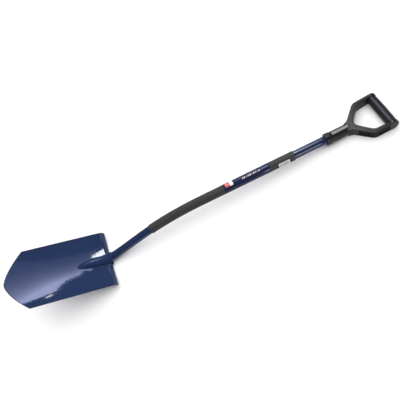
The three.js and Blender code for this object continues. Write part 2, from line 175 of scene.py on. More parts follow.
# ---- the shaft's centreline, in the blade's X-Z plane ----
class ShaftLine:
    """A straight, a tight lower bend, a straight, a long upper bend and the straight upper shaft."""

    def __init__(self, end_station):
        corners = [np.array(LOWER_CORNER), np.array(UPPER_CORNER)]
        end = corners[1] + along(SHAFT_PITCH, end_station)
        ends = corners[1:] + [end]
        self.legs = []
        start = np.array(TUBE_START)
        for corner, after, radius in zip(corners, ends, (LOWER_BEND_RADIUS, UPPER_BEND_RADIUS)):
            inward = (corner - start) / np.linalg.norm(corner - start)
            outward = (after - corner) / np.linalg.norm(after - corner)
            turn = math.asin(inward[0] * outward[1] - inward[1] * outward[0])
            tangent = radius * math.tan(abs(turn) / 2)
            bend_start = corner - inward * tangent
            heading = math.atan2(inward[1], inward[0])
            self.legs.append((start, heading, np.linalg.norm(bend_start - start), 0.0))
            self.legs.append((bend_start, heading, radius * abs(turn), math.copysign(1 / radius, turn)))
            start = corner + outward * tangent
        self.upper_start = sum(leg[2] for leg in self.legs)
        self.upper_tangent = tangent
        self.legs.append((start, SHAFT_PITCH, np.linalg.norm(end - start), 0.0))
        self.total = sum(leg[2] for leg in self.legs)

    def at(self, distance):
        """Point and heading at a distance along the line."""
        left = distance
        for start, heading, length, curve in self.legs:
            if left <= length:
                break
            left -= length
        else:
            left += length
        if curve == 0:
            return start + along(heading, left), heading
        angle = heading + curve * left
        dx = (math.sin(angle) - math.sin(heading)) / curve
        dz = (math.cos(heading) - math.cos(angle)) / curve
        return start + np.array([dx, dz]), angle

    def distance_of(self, station):
        return self.upper_start + station - self.upper_tangent

    def table(self, steps=1600):
        rows = [(*self.at(self.total * i / steps)[0], self.at(self.total * i / steps)[1])
                for i in range(steps + 1)]
        return np.array(rows)


LINE = ShaftLine(SOCKET_START + BORE_DEPTH - 3)
LINE_TABLE = LINE.table()


def line_over(x):
    """Height and heading of the centreline over X; before the tube's start it stays level."""
    x = np.maximum(x, TUBE_START[0])
    height, heading = (np.interp(x, LINE_TABLE[:, 0], LINE_TABLE[:, column]) for column in (1, 2))
    return height, heading


# ---- where the tool lies ----
def under_tube(x):
    """Height under the tube, with the air that the rear plate keeps from it."""
    z, heading = line_over(x)
    return z - (TUBE_RADIUS + 3 * GAP) / np.cos(heading)


def rest_pitch():
    """The pitch of the line from the heel flat that first touches the handle's eyes or its arms' root."""
    heel = np.array([HEEL_FLAT_START_X, HEEL_FLAT_Z - SHEET])
    arm_root = (BAR_CENTRE + along(SHAFT_PITCH + CANT, ARM_ROOT_X)
                + along(SHAFT_PITCH + CANT - math.pi / 2, ARM_HEIGHT / 2))
    pitches = []
    for point, radius in ((BAR_CENTRE, EYE_RADIUS), (arm_root, 0.0)):
        run, rise = point - heel
        pitches.append(math.atan2(rise, run) - math.asin(radius / math.hypot(run, rise)))
    return min(pitches)


BAR_CENTRE = (np.array(UPPER_CORNER) + along(SHAFT_PITCH, YOKE_STATION)
              + along(SHAFT_PITCH + CANT, BAR_STATION - YOKE_STATION))
HEEL_FLAT_Z = float(under_tube(HEEL_FLAT_START_X)) - HEEL_CLEARANCE
REST_PITCH = rest_pitch()


def tool_matrix():
    """The blade's frame on the floor: pitched, scaled to metres and placed by the grip bar's centre."""
    low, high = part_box("grip_bar")
    turned_centre = turn_y(REST_PITCH) @ np.array([BAR_CENTRE[0], 0, BAR_CENTRE[1], 1])
    offset = np.array((low + high) / 2) / MM - turned_centre[:3]
    return np.diag([MM, MM, MM, 1]) @ shift(*offset) @ turn_y(REST_PITCH)


TOOL = tool_matrix()
SHAFT = TOOL @ shift(UPPER_CORNER[0], 0, UPPER_CORNER[1]) @ turn_y(-SHAFT_PITCH)
ARM_REACH = BAR_STATION - YOKE_STATION
YOKE_TO_BAR = shift(ARM_REACH * math.cos(CANT), 0, ARM_REACH * math.sin(CANT))
GRIP_IN_SHAFT = shift(YOKE_STATION, 0, 0) @ YOKE_TO_BAR @ turn_y(-CANT)
GRIP = SHAFT @ GRIP_IN_SHAFT


def place(matrix, points):
    """Millimetre points in one of the three frames, as metres on the floor."""
    points = np.asarray(points, float).reshape(-1, 3)
    return points @ matrix[:3, :3].T + matrix[:3, 3]


# ---- mesh building ----
def mesh_piece(name, vertices, faces, smooth=True):
    """A new object at the origin, its vertices already in metres on the floor."""
    mesh = bpy.data.meshes.new(name)
    mesh.from_pydata([tuple(v) for v in vertices], [], [tuple(f) for f in faces])
    mesh.validate()
    mesh.shade_smooth() if smooth else mesh.shade_flat()
    piece = bpy.data.objects.new(name, mesh)
    bpy.context.scene.collection.objects.link(piece)
    return piece


def grid_faces(rows, columns, wrap_rows=False, wrap_columns=False, first=0):
    faces = []
    for j in range(rows if wrap_rows else rows - 1):
        for i in range(columns if wrap_columns else columns - 1):
            a = j * columns + i
            b = j * columns + (i + 1) % columns
            c = ((j + 1) % rows) * columns + (i + 1) % columns
            d = ((j + 1) % rows) * columns + i
            faces.append((first + a, first + b, first + c, first + d))
    return faces


def shell(name, matrix, grid, thickness, rim_steps=3):
    """A curved sheet with a rounded rim, from a grid of points on its upper face.

    Columns run towards +Y and rows towards -X, so the upper face's normals point up."""
    rows, columns, _ = grid.shape
    down_rows = np.gradient(grid, axis=0)
    across = np.gradient(grid, axis=1)
    normal = np.cross(across, down_rows)
    normal /= np.linalg.norm(normal, axis=2, keepdims=True)
    middle = grid - normal * (thickness / 2)
    loop = [(0, i) for i in range(columns)] + [(j, columns - 1) for j in range(1, rows)]
    loop += [(rows - 1, i) for i in range(columns - 2, -1, -1)] + [(j, 0) for j in range(rows - 2, 0, -1)]
    index = np.array(loop)
    edge = middle[index[:, 0], index[:, 1]]
    tangent = np.roll(edge, -1, axis=0) - np.roll(edge, 1, axis=0)
    edge_normal = normal[index[:, 0], index[:, 1]]
    outward = np.cross(edge_normal, tangent)
    outward /= np.linalg.norm(outward, axis=1, keepdims=True) + 1e-12
    centre = middle.reshape(-1, 3).mean(axis=0)
    if ((edge - centre) * outward).sum() < 0:
        outward = -outward
    inset = thickness / 2
    top = grid.copy()
    bottom = grid - normal * thickness
    pulled = edge - outward * inset
    top[index[:, 0], index[:, 1]] = pulled + edge_normal * inset
    bottom[index[:, 0], index[:, 1]] = pulled - edge_normal * inset
    vertices = [top.reshape(-1, 3), bottom.reshape(-1, 3)]
    count = rows * columns
    faces = grid_faces(rows, columns)
    faces += [tuple(reversed(f)) for f in grid_faces(rows, columns, first=count)]
    flat = index[:, 0] * columns + index[:, 1]
    rings = [flat]
    for k in range(1, rim_steps + 1):
        angle = math.pi / 2 - math.pi * k / (rim_steps + 1)
        ring = pulled + outward * (inset * math.cos(angle)) + edge_normal * (inset * math.sin(angle))
        rings.append(2 * count + (k - 1) * len(loop) + np.arange(len(loop)))
        vertices.append(ring)
    rings.append(count + flat)
    for upper, lower in zip(rings, rings[1:]):
        for i in range(len(loop)):
            j = (i + 1) % len(loop)
            faces.append((upper[j], upper[i], lower[i], lower[j]))
    piece = mesh_piece(name, place(matrix, np.concatenate(vertices)), faces)
    return outward_faces(piece)


def outward_faces(piece):
    work = bmesh.new()
    work.from_mesh(piece.data)
    bmesh.ops.recalc_face_normals(work, faces=work.faces)
    work.to_mesh(piece.data)
    work.free()
    return piece


def turned(name, profile, spot, sides=64, closed=True):
    """A turned solid. profile is a list of (station, radius); spot(station, radius, angle) gives points.

    A closed profile is a hollow body. An open one starts and ends on the axis."""
    angles = np.arange(sides) * (2 * math.pi / sides)
    vertices, rings = [], []
    for station, radius in profile:
        if radius < 1e-6:
            rings.append([len(vertices)])
            vertices.append(spot(station, 0.0, np.zeros(1))[0])
            continue
        rings.append(list(range(len(vertices), len(vertices) + sides)))
        vertices.extend(spot(station, radius, angles))
    faces = []
    pairs = list(zip(rings, rings[1:] + ([rings[0]] if closed else [])))
    for a, b in pairs:
        for i in range(sides):
            j = (i + 1) % sides
            if len(a) == 1 and len(b) == 1:
                continue
            if len(a) == 1:
                faces.append((a[0], b[i], b[j]))
            elif len(b) == 1:
                faces.append((a[i], b[0], a[j]))
            else:
                faces.append((a[i], b[i], b[j], a[j]))
    return outward_faces(mesh_piece(name, vertices, faces))


def on_line(distance, radius, angles):
    """Points round the bent centreline; angle 0 is up, turning towards -Y."""
    (x, z), heading = LINE.at(distance)
    up = radius * np.cos(angles)
    lifted_x, lifted_z = x - up * math.sin(heading), z + up * math.cos(heading)
    return place(TOOL, np.stack([lifted_x, -radius * np.sin(angles), lifted_z], axis=1))


def on_axis(matrix, axis="X"):
    """Points round a straight axis of a frame, carried by the frame's matrix."""
    def spot(station, radius, angles):
        up, side = radius * np.cos(angles), -radius * np.sin(angles)
        run = np.full(len(angles), float(station))
        order = {"X": (run, side, up), "Y": (side, run, up), "Z": (up, side, run)}[axis]
        return place(matrix, np.stack(order, axis=1))
    return spot


def rounded(corners, steps=5, closed=True):
    """An outline of (x, y, cut) corners, each rounded over its cut; a cut of 0 stays sharp."""
    points = []
    count = len(corners)
    for i, (x, y, cut) in enumerate(corners):
        corner = np.array([x, y], float)
        if cut == 0 or (not closed and i in (0, count - 1)):
            points.append(tuple(corner))
            continue
        before = np.array(corners[i - 1][:2]) - corner
        after = np.array(corners[(i + 1) % count][:2]) - corner
        start = corner + before / np.linalg.norm(before) * cut
        end = corner + after / np.linalg.norm(after) * cut
        for k in range(steps + 1):
            t = k / steps
            points.append(tuple((1 - t) ** 2 * start + 2 * t * (1 - t) * corner + t ** 2 * end))
    return points


def prism(name, outline, low, high):
    """A closed slab with a plan outline, in its own frame's millimetres."""
    count = len(outline)
    vertices = [(x, y, z) for z in (low, high) for x, y in outline]
    faces = [tuple(range(count)), tuple(range(2 * count - 1, count - 1, -1))]
    faces += [(i, i + count, (i + 1) % count + count, (i + 1) % count) for i in range(count)]
    return outward_faces(mesh_piece(name, vertices, faces, smooth=False))


def refined(piece, matrix, *modifiers):
    """Applies modifiers, given as (kind, settings), and then moves the mesh into its place on the floor."""
    for kind, settings in modifiers:
        modifier = piece.modifiers.new(kind.lower(), kind)
        for key, value in settings.items():
            setattr(modifier, key, value)
    graph = bpy.context.evaluated_depsgraph_get()
    graph.update()
    mesh = bpy.data.meshes.new_from_object(piece.evaluated_get(graph))
    piece.modifiers.clear()
    piece.data = mesh
    mesh.transform(Matrix(matrix.tolist()))
    mesh.shade_smooth()
    return piece


def discard(*pieces):
    for piece in pieces:
        bpy.data.objects.remove(piece)


def finish_piece(piece, slot, *nodes):
    """Rides the piece on the body and lets it stand for its CAD nodes, which it hides; slot is not used."""
    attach(piece, BODY)
    if nodes:
        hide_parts(*nodes)
    return piece


def paint_with(piece, *materials):
    piece.data.materials.clear()
    for material in materials:
        piece.data.materials.append(material)
    return piece


# ---- node trees ----
class Finish:
    """A material, with short calls for the nodes that the finishes here use."""

    def __init__(self, name, **sockets):
        self.material = bpy.data.materials.new(name)
        self.material.use_nodes = True
        self.nodes = self.material.node_tree.nodes
        self.links = self.material.node_tree.links
        self.nodes.clear()
        output = self.nodes.new("ShaderNodeOutputMaterial")
        self.shader = self.nodes.new("ShaderNodeBsdfPrincipled")
        self.links.new(self.shader.outputs["BSDF"], output.inputs["Surface"])
        for socket, value in sockets.items():
            self.shader.inputs[socket.replace("_", " ")].default_value = value
        self.place = self.nodes.new("ShaderNodeTexCoord").outputs["Object"]

    def _fill(self, node, values):
        for socket, value in zip(node.inputs, values):
            if isinstance(value, bpy.types.NodeSocket):
                self.links.new(value, socket)
            elif value is not None:
                socket.default_value = value
        return node

    def math(self, operation, *values, clamp=False):
        node = self.nodes.new("ShaderNodeMath")
        node.operation = operation
        node.use_clamp = clamp
        return self._fill(node, values).outputs[0]

    def in_frame(self, matrix, stretch=(1, 1, 1)):
        """Object coordinates turned into millimetres of one of the tool's frames."""
        inverse = np.linalg.inv(matrix)
        node = self.nodes.new("ShaderNodeMapping")
        turn = Matrix(inverse[:3, :3] * MM)
        node.inputs["Location"].default_value = inverse[:3, 3]
        node.inputs["Rotation"].default_value = turn.to_euler()
        node.inputs["Scale"].default_value = (1 / MM, 1 / MM, 1 / MM)
        self.links.new(self.place, node.inputs["Vector"])
        if stretch == (1, 1, 1):
            return node.outputs[0]
        scaled = self.nodes.new("ShaderNodeVectorMath")
        scaled.operation = "MULTIPLY"
        self._fill(scaled, (node.outputs[0], stretch))
        return scaled.outputs[0]

    def split(self, vector):
        node = self.nodes.new("ShaderNodeSeparateXYZ")
        self.links.new(vector, node.inputs[0])
        return node.outputs

    def noise(self, vector, scale, detail=3.0, roughness=0.55):
        node = self.nodes.new("ShaderNodeTexNoise")
        self.links.new(vector, node.inputs["Vector"])
        node.inputs["Scale"].default_value = scale
        node.inputs["Detail"].default_value = detail
        node.inputs["Roughness"].default_value = roughness
        return node.outputs["Fac"]

    def cells(self, vector, scale):
        node = self.nodes.new("ShaderNodeTexVoronoi")
        self.links.new(vector, node.inputs["Vector"])
        node.inputs["Scale"].default_value = scale
        return node.outputs["Distance"]

    def between(self, value, low, high, to_low=0.0, to_high=1.0):
        """A value carried smoothly from one range to another."""
        node = self.nodes.new("ShaderNodeMapRange")
        node.interpolation_type = "SMOOTHSTEP"
        return self._fill(node, (value, low, high, to_low, to_high)).outputs[0]

    def band(self, value, low, high, soft):
        """1 between two values and 0 outside them."""
        rise = self.between(value, low - soft, low + soft)
        fall = self.between(value, high - soft, high + soft, 1.0, 0.0)
        return self.math("MULTIPLY", rise, fall)

    def mix(self, share, a, b):
        node = self.nodes.new("ShaderNodeMix")
        node.data_type = "RGBA"
        colour_inputs = [s for s in node.inputs if s.type == "RGBA"]
        for socket, value in zip([node.inputs["Factor"], *colour_inputs], (share, a, b)):
            if isinstance(value, bpy.types.NodeSocket):
                self.links.new(value, socket)
            elif isinstance(value, (int, float)):
                socket.default_value = value
            else:
                socket.default_value = (*value[:3], 1.0)
        return [s for s in node.outputs if s.type == "RGBA"][0]

    def to(self, socket, value):
        self.links.new(value, self.shader.inputs[socket])
        return self

    def bump(self, height, distance, strength=1.0, socket="Normal", under=None):
        """Relief of a depth in millimetres on the base or on the coat."""
        node = self.nodes.new("ShaderNodeBump")
        node.inputs["Strength"].default_value = strength
        node.inputs["Distance"].default_value = distance * MM
        self.links.new(height, node.inputs["Height"])
        if under is not None:
            self.links.new(under, node.inputs["Normal"])
        self.links.new(node.outputs["Normal"], self.shader.inputs[socket])
        return node.outputs["Normal"]


class Growth:
    """A Geometry Nodes tree with named inputs, and short calls for its nodes."""

    def __init__(self, name, **inputs):
        self.tree = bpy.data.node_groups.new(name, "GeometryNodeTree")
        self.tree.is_modifier = True
        face = self.tree.interface
        face.new_socket("Geometry", in_out="INPUT", socket_type="NodeSocketGeometry")
        face.new_socket("Geometry", in_out="OUTPUT", socket_type="NodeSocketGeometry")
        for label, value in inputs.items():
            kind = {bool: "Bool", int: "Int", float: "Float"}.get(type(value), "Material")
            socket = face.new_socket(label.replace("_", " "), in_out="INPUT",
                                     socket_type="NodeSocket" + kind)
            if kind != "Material":
                socket.default_value = value
        self.source = self.tree.nodes.new("NodeGroupInput")

    def given(self, label):
        return self.source.outputs[label]

    def node(self, kind, settings=None, **inputs):
        node = self.tree.nodes.new(kind)
        for key, value in (settings or {}).items():
            setattr(node, key, value)
        for label, value in inputs.items():
            key = int(label[1:]) if label[0] == "_" else label.replace("_", " ")
            socket = node.inputs[key]
            if isinstance(value, bpy.types.NodeSocket):
                self.tree.links.new(value, socket)
            else:
                socket.default_value = value
        return node

    def math(self, operation, a, b=0.0):
        return self.node("ShaderNodeMath", {"operation": operation}, _0=a, _1=b).outputs[0]

    def close(self, geometry, material):
        """Realizes the instances, shades them smooth, sets the material and ends the tree."""
        real = self.node("GeometryNodeRealizeInstances", Geometry=geometry)
        smooth = self.node("GeometryNodeSetShadeSmooth", Geometry=real.outputs[0])
        painted = self.node("GeometryNodeSetMaterial", Geometry=smooth.outputs[0], Material=material)
        output = self.tree.nodes.new("NodeGroupOutput")
        self.tree.links.new(painted.outputs[0], output.inputs[0])
        return self.tree


def grow(name, tree, matrix, path=(), **sizes):
    """Runs a tree over a path of points and keeps its result as a plain mesh in its place."""
    seed = bpy.data.meshes.new(name + "_path")
    seed.from_pydata([tuple(p) for p in path], [(i, i + 1) for i in range(len(path) - 1)], [])
    piece = bpy.data.objects.new(name, seed)
    bpy.context.scene.collection.objects.link(piece)
    modifier = piece.modifiers.new("growth", "NODES")
    modifier.node_group = tree
    for socket in tree.interface.items_tree:
        label = socket.name.replace(" ", "_")
        if socket.in_out == "INPUT" and label in sizes:
            modifier[socket.identifier] = sizes[label]
    graph = bpy.context.evaluated_depsgraph_get()
    graph.update()
    grown = bpy.data.meshes.new_from_object(piece.evaluated_get(graph))
    piece.modifiers.remove(modifier)
    if not grown.polygons:
        raise RuntimeError(f"{name}: its tree made no faces")
    grown.transform(Matrix(matrix.tolist()))
    piece.data = grown
    bpy.data.meshes.remove(seed)
    return piece


# ---- finishes ----
def paint_finish(name, colour, deep, gloss):
    """Sprayed enamel: a clear coat with faint orange peel over a slightly uneven colour."""
    paint = Finish(name, Roughness=0.42, Coat_Weight=1.0, Coat_Roughness=gloss, Coat_IOR=1.4,
                   Specular_IOR_Level=0.0)
    where = paint.in_frame(TOOL)
    broad = paint.noise(where, 0.012, 2.0)
    fine = paint.noise(where, 0.5, 3.0)
    tone = paint.math("ADD", paint.math("MULTIPLY", broad, 0.8), paint.math("MULTIPLY", fine, 0.2))
    paint.to("Base Color", paint.mix(paint.between(tone, 0.3, 0.7), deep, colour))
    paint.to("Roughness", paint.between(fine, 0.2, 0.8, 0.36, 0.5))
    peel = paint.noise(where, 0.22, 2.0, 0.4)
    paint.bump(peel, 0.12, 0.35, "Coat Normal")
    paint.bump(peel, 0.1, 0.3)
    return paint.material


def sleeve_finish(colour):
    """Soft PVC sleeving with the faint lengthwise drag lines of its extrusion and a fine matt grain."""
    soft = Finish("sleeve_plastic", Roughness=0.5, Specular_IOR_Level=0.12)
    where = soft.in_frame(SHAFT, (0.02, 1, 1))
    drag = soft.noise(where, 0.9, 2.0)
    grain = soft.noise(soft.in_frame(SHAFT), 1.4, 4.0, 0.7)
    lighter = [min(1, c * 1.35 + 0.004) for c in colour[:3]]
    soft.to("Base Color", soft.mix(soft.between(drag, 0.3, 0.7), colour, lighter))
    soft.to("Roughness", soft.between(grain, 0.25, 0.75, 0.42, 0.6))
    first = soft.bump(grain, 0.06, 0.5)
    soft.bump(drag, 0.1, 0.35, under=first)
    return soft.material


def moulded_finish(name, colour, matrix, roughness, flow_run=(0.03, 0.2, 0.2)):
    """Injection-moulded polypropylene with a spark-eroded grain and slight flow marks."""
    moulded = Finish(name, Roughness=roughness, Specular_IOR_Level=0.22)
    where = moulded.in_frame(matrix)
    flow = moulded.noise(moulded.in_frame(matrix, flow_run), 0.8, 3.0)
    grain = moulded.cells(where, 1.1)
    lighter = [min(1, c * 1.5 + 0.004) for c in colour[:3]]
    moulded.to("Base Color", moulded.mix(moulded.between(flow, 0.25, 0.75), colour, lighter))
    moulded.to("Roughness", moulded.between(flow, 0.2, 0.8, roughness - 0.06, roughness + 0.06))
    moulded.bump(grain, 0.05, 0.4)
    return moulded.material


def shaft_angle(film):
    """Degrees round the upper shaft, from its top towards -Y, and millimetres along it."""
    x, y, z = film.split(film.in_frame(SHAFT))
    turn = film.math("ARCTAN2", film.math("MULTIPLY", y, -1.0), z)
    return x, film.math("MULTIPLY", turn, 180 / math.pi)


def label_finish(ground, pale, accent):
    """A glossy printed wrap: a deep ground, a thin pale line painted along its upper side as a highlight,
    and a broken row of plain slanted dashes.
    """
    film = Finish("label_film", Roughness=0.3, Coat_Weight=0.8, Coat_Roughness=0.05, Coat_IOR=1.4,
                  Specular_IOR_Level=0.0)
    x, angle = shaft_angle(film)
    across = film.math("MULTIPLY", angle, math.pi / 180 * SLEEVE_RADIUS)
    middle = film.math("SUBTRACT", across, 2.5)
    pitch = 5.8
    start = LABEL_START + 60
    run = film.math("SUBTRACT", film.math("ADD", x, film.math("MULTIPLY", middle, 0.45)), start)
    dash = film.band(film.math("MODULO", run, pitch), 0.9, 4.4, 0.35)
    uneven = film.noise(film.in_frame(SHAFT), 0.22, 2.0)
    lower = film.between(uneven, 0.3, 0.7, -3.4, -1.8)
    upper = film.between(uneven, 0.3, 0.7, 1.4, 3.2)
    rise = film.between(film.math("SUBTRACT", middle, lower), -0.3, 0.3)
    fall = film.between(film.math("SUBTRACT", middle, upper), -0.3, 0.3, 1.0, 0.0)
    marks = film.math("MULTIPLY", film.math("MULTIPLY", dash, film.math("MULTIPLY", rise, fall)),
                      film.band(run, 0.0, 10 * pitch, 0.3))
    # painted highlight: a thin pale line along the label's upper side, mixed in at half strength
    painted_highlight_line = film.math("MULTIPLY", film.band(across, -7.4, -6.8, 0.15),
                     film.band(x, LABEL_START + 34, LABEL_END - 8, 0.5))
    wear = film.between(film.noise(film.in_frame(SHAFT), 0.35, 4.0), 0.3, 0.45)
    # ink holds the printed dashes and the painted highlight line
    ink = film.math("MULTIPLY", film.math("ADD", marks, film.math("MULTIPLY", painted_highlight_line, 0.5), clamp=True), wear)
    turn_about = film.math("GREATER_THAN", film.math("MODULO", run, 3 * pitch), 2 * pitch)
    film.to("Base Color", film.mix(ink, ground, film.mix(turn_about, pale, accent)))
    film.bump(film.noise(film.in_frame(SHAFT), 0.12, 2.0), 0.15, 0.5, "Coat Normal")
    return film.material


def seal_finish(red, white):
    """A small two-colour seal: a red half towards the blade, a white half with a plain ring."""
    film = Finish("seal_film", Roughness=0.38, Coat_Weight=0.3, Coat_Roughness=0.15)
    x, angle = shaft_angle(film)
    across = film.math("MULTIPLY", film.math("ADD", angle, 19.0), math.pi / 180 * SLEEVE_RADIUS)
    split = film.between(x, SEAL_START + 14.6, SEAL_START + 15.0)
    along = film.math("SUBTRACT", x, SEAL_START + 7.5)
    ring = film.math("SQRT", film.math("ADD", film.math("POWER", along, 2.0),
                                       film.math("POWER", across, 2.0)))
    circle = film.band(ring, 4.0, 4.8, 0.15)
    fleck = film.between(film.noise(film.in_frame(SHAFT), 0.8, 3.0), 0.4, 0.6, 0.0, 0.12)
    field = film.mix(circle, red, white)
    halves = film.mix(split, field, white)
    film.to("Base Color", film.mix(fleck, halves, (0.3, 0.3, 0.32)))
    return film.material


def barcode_finish(white):
    """Matt white paper film, very slightly mottled."""
    film = Finish("barcode_film", Roughness=0.55, Specular_IOR_Level=0.4)
    mottle = film.noise(film.in_frame(SHAFT), 0.7, 4.0)
    film.to("Base Color", film.mix(film.between(mottle, 0.3, 0.7), white, [c * 0.86 for c in white[:3]]))
    return film.material


def ink_finish(colour):
    ink = Finish("barcode_ink", Roughness=0.5)
    patch = ink.noise(ink.in_frame(SHAFT), 1.5, 3.0)
    ink.to("Base Color", ink.mix(ink.between(patch, 0.3, 0.7), colour, [c * 2 + 0.02 for c in colour[:3]]))
    return ink.material


def rivet_finish(colour):
    """Zinc-plated steel, brushed by its setting tool."""
    steel = Finish("rivet_steel", Metallic=1.0, Roughness=0.3)
    smear = steel.noise(steel.in_frame(SHAFT, (1, 1, 4)), 1.2, 4.0)
    steel.to("Base Color", steel.mix(steel.between(smear, 0.3, 0.7), [c * 0.7 for c in colour[:3]], colour))
    steel.to("Roughness", steel.between(smear, 0.2, 0.8, 0.22, 0.45))
    steel.bump(smear, 0.03, 0.5)
    return steel.material


# ---- blade ----
def dish(x, y):
    depth = lerp(DISH_AT_TIP, DISH_AT_TREAD, smoothstep(x, TIP_X, FROG_NOSE_X))
    return -depth * (1 - (y / BLADE_HALF_WIDTH) ** 2)


def tip_edge(y):
    return lerp(TIP_X, SHOULDER_X, (np.abs(y) / BLADE_HALF_WIDTH) ** TIP_POWER)


def hood(x, y, taper_start, roundness):
    """The frog's half-round top: it clears the tube, and narrows to a bullet nose over the dish."""
    z_line, heading = line_over(x)
    outer = TUBE_RADIUS + 3 * GAP + SHEET
    t = np.clip((taper_start - x) / (taper_start - FROG_NOSE_X), 0, 1)
    narrow = np.sqrt(np.clip(1 - t ** roundness, 0, 1))
    radius = np.maximum(outer * narrow, 0.01)
    floor = dish(x, 0) - lerp(3.0, 7.0, smoothstep(-x, 50.0, -FROG_NOSE_X))
    crown = z_line + outer / np.cos(heading)
    spring = z_line
    reach = np.clip(np.abs(y) / radius, 0, 1)
    arch = np.sqrt(1 - reach ** 2)
    top = spring + (crown - spring) * arch
    lowered = floor + (np.maximum(top, floor) - floor) * np.where(t > 0, narrow ** 0.9, 1.0)
    return np.where(np.abs(y) < radius, lowered, floor)


def blade_face(x, y, settings):
    base = dish(x, y)
    frog = hood(x, y, settings.frog_taper_start, settings.frog_roundness)
    frog = np.where(x > FROG_NOSE_X - 0.01, frog, base - 30)
    joined = soft_max(base, frog, settings.frog_fillet)
    beyond = np.clip((x - TREAD_CREASE_X) / (TREAD_EDGE_X - TREAD_CREASE_X), 0, None)
    drop = TREAD_DROP * beyond ** 1.15 * smoothstep(np.abs(y), 18, 30)
    return joined - drop


def blade_grid(settings):
    outer = TUBE_RADIUS + 3 * GAP + SHEET
    inner = outer + 4
    near = inner * np.sin(np.linspace(0, math.pi / 2, 34))
    far = np.linspace(inner, BLADE_HALF_WIDTH, 46)[1:]
    half = np.concatenate([near, far])
    half[-3:] = BLADE_HALF_WIDTH - np.array([2.4, 1.1, 0])
    ys = np.concatenate([-half[:0:-1], half])
    tread_run = TREAD_EDGE_X - TREAD_CREASE_X + 6
    tread = TREAD_EDGE_X - tread_run * (1 - np.cos(np.linspace(0, math.pi / 2, 22)))
    frog = np.linspace(tread[-1], FROG_NOSE_X - 8, 96)[1:]
    body = np.linspace(frog[-1], TIP_X, 70)[1:]
    rows = np.concatenate([tread, frog, body])
    row, y = np.meshgrid(rows, ys, indexing="ij")
    corner = np.clip(row - (TREAD_EDGE_X - settings.tread_corner), 0, settings.tread_corner)
    rounding = np.sqrt(settings.tread_corner ** 2 - corner ** 2)
    half_width = BLADE_HALF_WIDTH - settings.tread_corner + rounding
    spread = smoothstep(np.abs(y), 30, BLADE_HALF_WIDTH)
    y = y * lerp(1, half_width / BLADE_HALF_WIDTH, spread)
    swept = np.clip((FROG_NOSE_X - row) / (FROG_NOSE_X - TIP_X), 0, None)
    x = row + (tip_edge(y) - TIP_X) * swept ** 2
    return np.stack([x, y, blade_face(x, y, settings)], axis=2)


# ---- rear plate ----
def behind_blade(x, y):
    return dish(x, y) - SHEET - GAP


def trough_floor(x):
    level = under_tube(TUBE_START[0]) - GAP
    nose = smoothstep(x, PLATE_NOSE_X, TUBE_START[0])
    heel = smoothstep(x, HEEL_FLAT_START_X - 20, HEEL_FLAT_START_X)
    ahead = lerp(lerp(behind_blade(x, 0), level, nose), HEEL_FLAT_Z, heel)
    flat = HEEL_FLAT_Z + (x - HEEL_FLAT_START_X) * math.tan(REST_PITCH)
    return np.where(x > HEEL_FLAT_START_X, flat, ahead)


def plate_half_width(x):
    nose = np.clip((x - PLATE_NOSE_X) / PLATE_ROUND, 0, 1)
    wide = lerp(PLATE_HALF_WIDTH, TROUGH_HALF_WIDTH, smoothstep(x, -24, HEEL_FLAT_START_X))
    return lerp(PLATE_NOSE_HALF_WIDTH, wide, np.sqrt(1 - (1 - nose) ** 2))


def plate_grid():
    reach = np.linspace(0, 1, 40)
    share = np.concatenate([-reach[:0:-1], reach])
    rows = PLATE_HEEL_X - (PLATE_HEEL_X - PLATE_NOSE_X) * np.linspace(0, 1, 110)
    x, u = np.meshgrid(rows, share, indexing="ij")
    side, u = np.sign(u), np.abs(u)
    flat, wall_top = 0.3, 0.8
    half_width = plate_half_width(x)
    shoulder = np.minimum(TROUGH_HALF_WIDTH, half_width) - 2
    floor = trough_floor(x)
    climb = np.clip((u - flat) / (wall_top - flat), 0, 1)
    beyond = np.clip((u - wall_top) / (1 - wall_top), 0, 1)
    y_flat = TROUGH_FLAT * np.minimum(u / flat, 1)
    y = np.where(u <= flat, y_flat, np.where(u <= wall_top, lerp(TROUGH_FLAT, shoulder, climb),
                                             lerp(shoulder, half_width, beyond)))
    wall = lerp(floor, behind_blade(x, shoulder), climb ** 1.6)
    z = np.where(u <= wall_top, wall, behind_blade(x, y))
    return np.stack([x, side * y, z], axis=2)


# ---- welds ----
def weld_tree():
    """A bead along a path: a round section that swells once per ripple and tapers out at both ends."""
    tree = Growth("weld_bead", Radius=1.7, Ripple_Pitch=2.2, Ripple_Depth=0.16, Sides=12, Paint=None)
    curve = tree.node("GeometryNodeMeshToCurve", Mesh=tree.given("Geometry"))
    fine = tree.node("GeometryNodeResampleCurve", {"mode": "LENGTH"}, Curve=curve.outputs[0], Length=0.28)
    along_it = tree.node("GeometryNodeSplineParameter")
    turns = tree.math("DIVIDE", along_it.outputs["Length"], tree.given("Ripple Pitch"))
    wave = tree.math("ABSOLUTE", tree.math("SINE", tree.math("MULTIPLY", turns, math.pi)))
    swell = tree.math("MULTIPLY", wave, tree.given("Ripple Depth"))
    body = tree.math("ADD", swell, 1.0)
    share = along_it.outputs["Factor"]
    ends = tree.math("MULTIPLY", tree.math("MULTIPLY", share, tree.math("SUBTRACT", 1.0, share)), 4.0)
    taper = tree.math("POWER", ends, 0.18)
    radius = tree.math("MULTIPLY", tree.math("MULTIPLY", body, taper), tree.given("Radius"))
    sized = tree.node("GeometryNodeSetCurveRadius", Curve=fine.outputs[0], Radius=radius)
    section = tree.node("GeometryNodeCurvePrimitiveCircle", Resolution=tree.given("Sides"), Radius=1.0)
    bead = tree.node("GeometryNodeCurveToMesh", Curve=sized.outputs[0], Profile_Curve=section.outputs[0],
                     Fill_Caps=True)
    return tree.close(bead.outputs[0], tree.given("Paint"))


